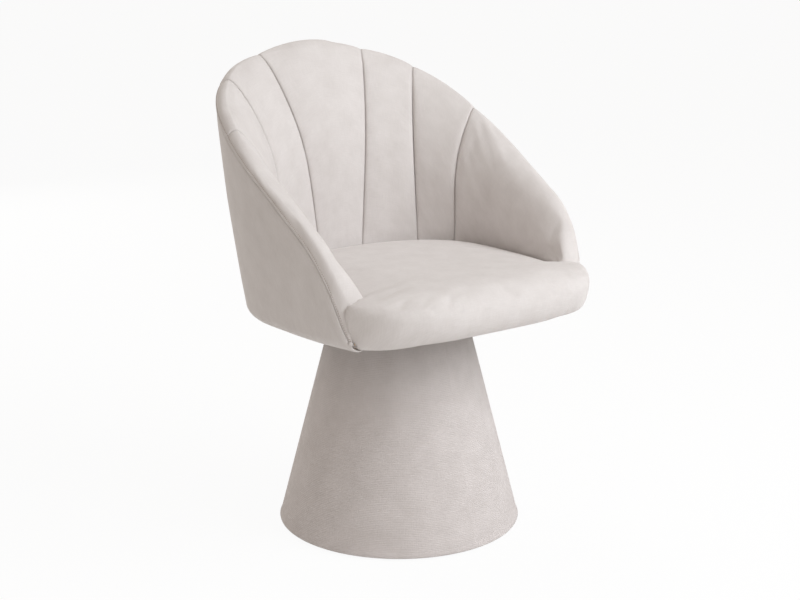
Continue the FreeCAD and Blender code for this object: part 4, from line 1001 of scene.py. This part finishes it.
board_inset = OPEN_INSET + EAR_ROOM * (facing[:, 1] < -0.6)
board_edge = grow_to(lambda reach: outside_level(facing[:, 0] * reach, facing[:, 1] * reach,
                                                 BOARD_TOP, board_inset), turns)
seat_lining = flat_ring("seat_lining", PLATE_ROOM, board_edge, UNDERSIDE - 0.5)
foot_lining = flat_ring("foot_lining", FOOT_HOLE, np.full(AROUND, FOOT_LINING), FOOT_HEIGHT)
for piece, body, node, thickness in ((seat_lining, "seat", "seat_underside_cloth", 0.0008),
                                     (foot_lining, "base", "base_underlay", 0.0012)):
    piece.data.materials.append(lining)
    thicken(piece, thickness, 0.0)
    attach(piece, body)
    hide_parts(node)
print("linings:", seat_lining.name, foot_lining.name)

# %% [markdown]
# ## Topstitching
# A row of small stitches runs along the lower edge of the rim's band, from one arm's end to the
# other's. Each stitch is a tiny closed ball drawn out along the thread.

# %% Sew the stitches
STITCH_PITCH, STITCH_LONG, STITCH_WIDE, STITCH_PROUD = 3.8, 2.5, 0.6, 0.25
thread = plain_stuff("thread", (190, 177, 170), (160, 146, 138), 2500.0, 0.7, 0.2)


def add_stitches(mesh, line):
    """Add stitches at an even pitch along a line of points in metres."""
    run = np.concatenate([[0], np.cumsum(np.linalg.norm(np.diff(line, axis=0), axis=1))])
    at = np.arange(STITCH_PITCH * MM / 2, run[-1], STITCH_PITCH * MM)
    spots, further = (np.stack([np.interp(place, run, line[:, axis]) for axis in range(3)], 1)
                      for place in (at, at + MM))
    for spot, ahead in zip(spots, further - spots):
        if np.linalg.norm(ahead) < 1e-6:
            continue
        turn = Vector(ahead).to_track_quat("Z", "Y").to_matrix().to_4x4()
        turn.translation = Vector(spot)
        size = Matrix.Diagonal((STITCH_WIDE * MM, STITCH_WIDE * MM, STITCH_LONG / 2 * MM, 1))
        bmesh.ops.create_uvsphere(mesh, u_segments=6, v_segments=4, radius=1.0, matrix=turn @ size)


mesh = bmesh.new()
for name in PADS:
    fall = run_along(starts[name].flat, 1)
    lifted = pad_places(name, capped=False) + starts[name].outwards * STITCH_PROUD * MM
    line = np.array([[np.interp(STITCH_LINE, fall[column], lifted[column, :, axis])
                      for axis in range(3)] for column in range(len(fall))])
    add_stitches(mesh, line)
for face in mesh.faces:
    face.smooth = True
stitches = piece_from("rim_topstitch", mesh)
stitches.data.materials.append(thread)
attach(stitches, "seat")
print("stitch faces:", len(stitches.data.polygons))

# %% [markdown]
# ## Materials of the hard pieces
# The boards, drum and shell are birch plywood, the swivel is steel, the glides are plastic. These
# pieces keep their own meshes, so only their material slots are filled.

# %% Fill the hard pieces' slots
def plywood():
    """Birch plywood: a long grain with the plies as thin level bands."""
    material, shader, spot = new_material("birch_plywood", "Object")
    height = spot.node("ShaderNodeSeparateXYZ", {}, {0: spot}, "Z")
    long_way = spot.node("ShaderNodeMapping", {}, {"Vector": spot, "Scale": (40, 400, 60)})
    grain = noise(long_way, 1.0, 5.0)
    ply = (height * (2 * math.pi / PLY_PAIR)).wave()
    colour = two_tone(grain * 0.9 + ply * 0.08, (178, 140, 96), (222, 192, 148))
    fill_shader(shader, colour, raised(grain + ply * 0.2, 0.3, 0.0003), grain * 0.2 + 0.5)
    return material


PLY_PAIR = 0.003
finishes = {
    "plywood": plywood(),
    "steel": plain_stuff("zinc_steel", (196, 199, 204), (160, 163, 170), 60.0, 0.38, 0.08,
                         1.0, (1, 8, 1)),
    "dark_steel": plain_stuff("black_steel", (44, 44, 46), (26, 26, 28), 1500.0, 0.5, 0.3),
    "foam": plain_stuff("foam_cells", (240, 230, 196), (214, 200, 160), 1400.0, 0.95, 0.8),
    "wadding": plain_stuff("white_wadding", (246, 246, 243), (224, 224, 220), 300.0, 0.95, 0.8),
    "underside_cloth": lining,
    "glide_plastic": plain_stuff("glide_plastic", (62, 60, 59), (44, 42, 42), 400.0, 0.55, 0.15),
    "velvet": tub_velvet,
    "base_velvet": cone_velvet,
}
for part in frame["record"]["subparts"]:
    node = frame["nodes"][part["node"]]
    for slot in node.material_slots:
        slot.material = finishes[part["material_slot"]]
for piece in (seat_foam, tub_foam):
    piece.data.materials.clear()
    piece.data.materials.append(finishes["foam"])

# %% [markdown]
# ## Floor, light and camera
# The chair stands on a plain white floor that keeps a faint shadow. A camera ray sees the floor
# and the world as white, while the chair is lit by the warm grey world and four soft lamps.

# %% Floor and world
def camera_sees(tree):
    """One where the eye, a reflection or a clear pane looks, and nought where light bounces."""
    path = tree.nodes.new("ShaderNodeLightPath")
    rays = [Wire(tree, path.outputs[name]) for name in
            ("Is Camera Ray", "Is Glossy Ray", "Is Transmission Ray")]
    return rays[0].sum("MAXIMUM", rays[0].sum("MAXIMUM", rays[0], rays[1]), rays[2])


def two_faced(owner, lit_by, light_values, seen_as, seen_values, share, output_kind):
    """Give the owner one shader for the light, and, by a share, another one for the eye."""
    owner.use_nodes = True
    tree = owner.node_tree
    tree.nodes.clear()
    seen = camera_sees(tree)
    light, shown = seen.node(lit_by, {}, light_values), seen.node(seen_as, {}, seen_values)
    mixed = seen.node("ShaderNodeMixShader", {}, {0: seen * share, 1: light, 2: shown})
    tree.links.new(mixed.socket, tree.nodes.new(output_kind).inputs["Surface"])


WHITE = {"Color": (1, 1, 1, 1), "Strength": 1.0}
world = bpy.data.worlds.new("studio")
scene.world = world
two_faced(world, "ShaderNodeBackground", {"Color": (1.0, 0.91, 0.82, 1), "Strength": 0.44},
          "ShaderNodeBackground", WHITE, 1.0, "ShaderNodeOutputWorld")

FLOOR_HALF, FLOOR_GLOW = 40.0, 0.93
mesh = bmesh.new()
bmesh.ops.create_grid(mesh, x_segments=1, y_segments=1, size=FLOOR_HALF)
floor = piece_from("floor", mesh)
floor_material = bpy.data.materials.new("floor_white")
two_faced(floor_material, "ShaderNodeBsdfDiffuse", {"Color": (0.9, 0.9, 0.9, 1)},
          "ShaderNodeEmission", WHITE, FLOOR_GLOW, "ShaderNodeOutputMaterial")
floor.data.materials.append(floor_material)
print("stage:", world.name, floor.name)

# %% Lamps
TARGET = Vector((0, 0, 0.42))


def set_up(name, data, turn, rise, distance):
    """Put a lamp or a camera at an angle round the chair and above the floor, and face it."""
    made = bpy.data.objects.new(name, data)
    turn, rise = math.radians(turn), math.radians(rise)
    back = Vector((math.sin(turn) * math.cos(rise), -math.cos(turn) * math.cos(rise),
                   math.sin(rise)))
    made.location = TARGET + back * distance
    made.rotation_euler = back.to_track_quat("Z", "Y").to_euler()
    scene.collection.objects.link(made)
    return made


def lamp(name, turn, rise, distance, size, power, colour):
    """A square soft lamp, its size and distance in metres and its power in watts."""
    data = bpy.data.lights.new(name, "AREA")
    data.shape, data.size, data.energy, data.color = "SQUARE", size, power, colour
    set_up(name, data, turn, rise, distance)


lamp("window", 29, 35, 3.0, 2.0, 72, (0.91, 0.955, 1.0))
lamp("back_fill", 180, 20, 3.4, 2.4, 26, (1.0, 0.99, 0.97))
lamp("front_fill", -40, 20, 3.2, 2.4, 9, (0.97, 0.98, 1.0))
lamp("top_fill", 180, 70, 2.8, 2.0, 6, (1.0, 1.0, 1.0))

# %% Camera
TURN, RISE, DISTANCE, LENS = -37.77, 13.19, 2.5608, 67.84
eye = bpy.data.cameras.new("camera")
eye.lens, eye.sensor_width = LENS, 36.0
eye.shift_x, eye.shift_y = 0.0012, -0.024
camera = set_up("camera", eye, TURN, RISE, DISTANCE)
scene.camera = camera
print("camera at", [round(value, 3) for value in camera.location])
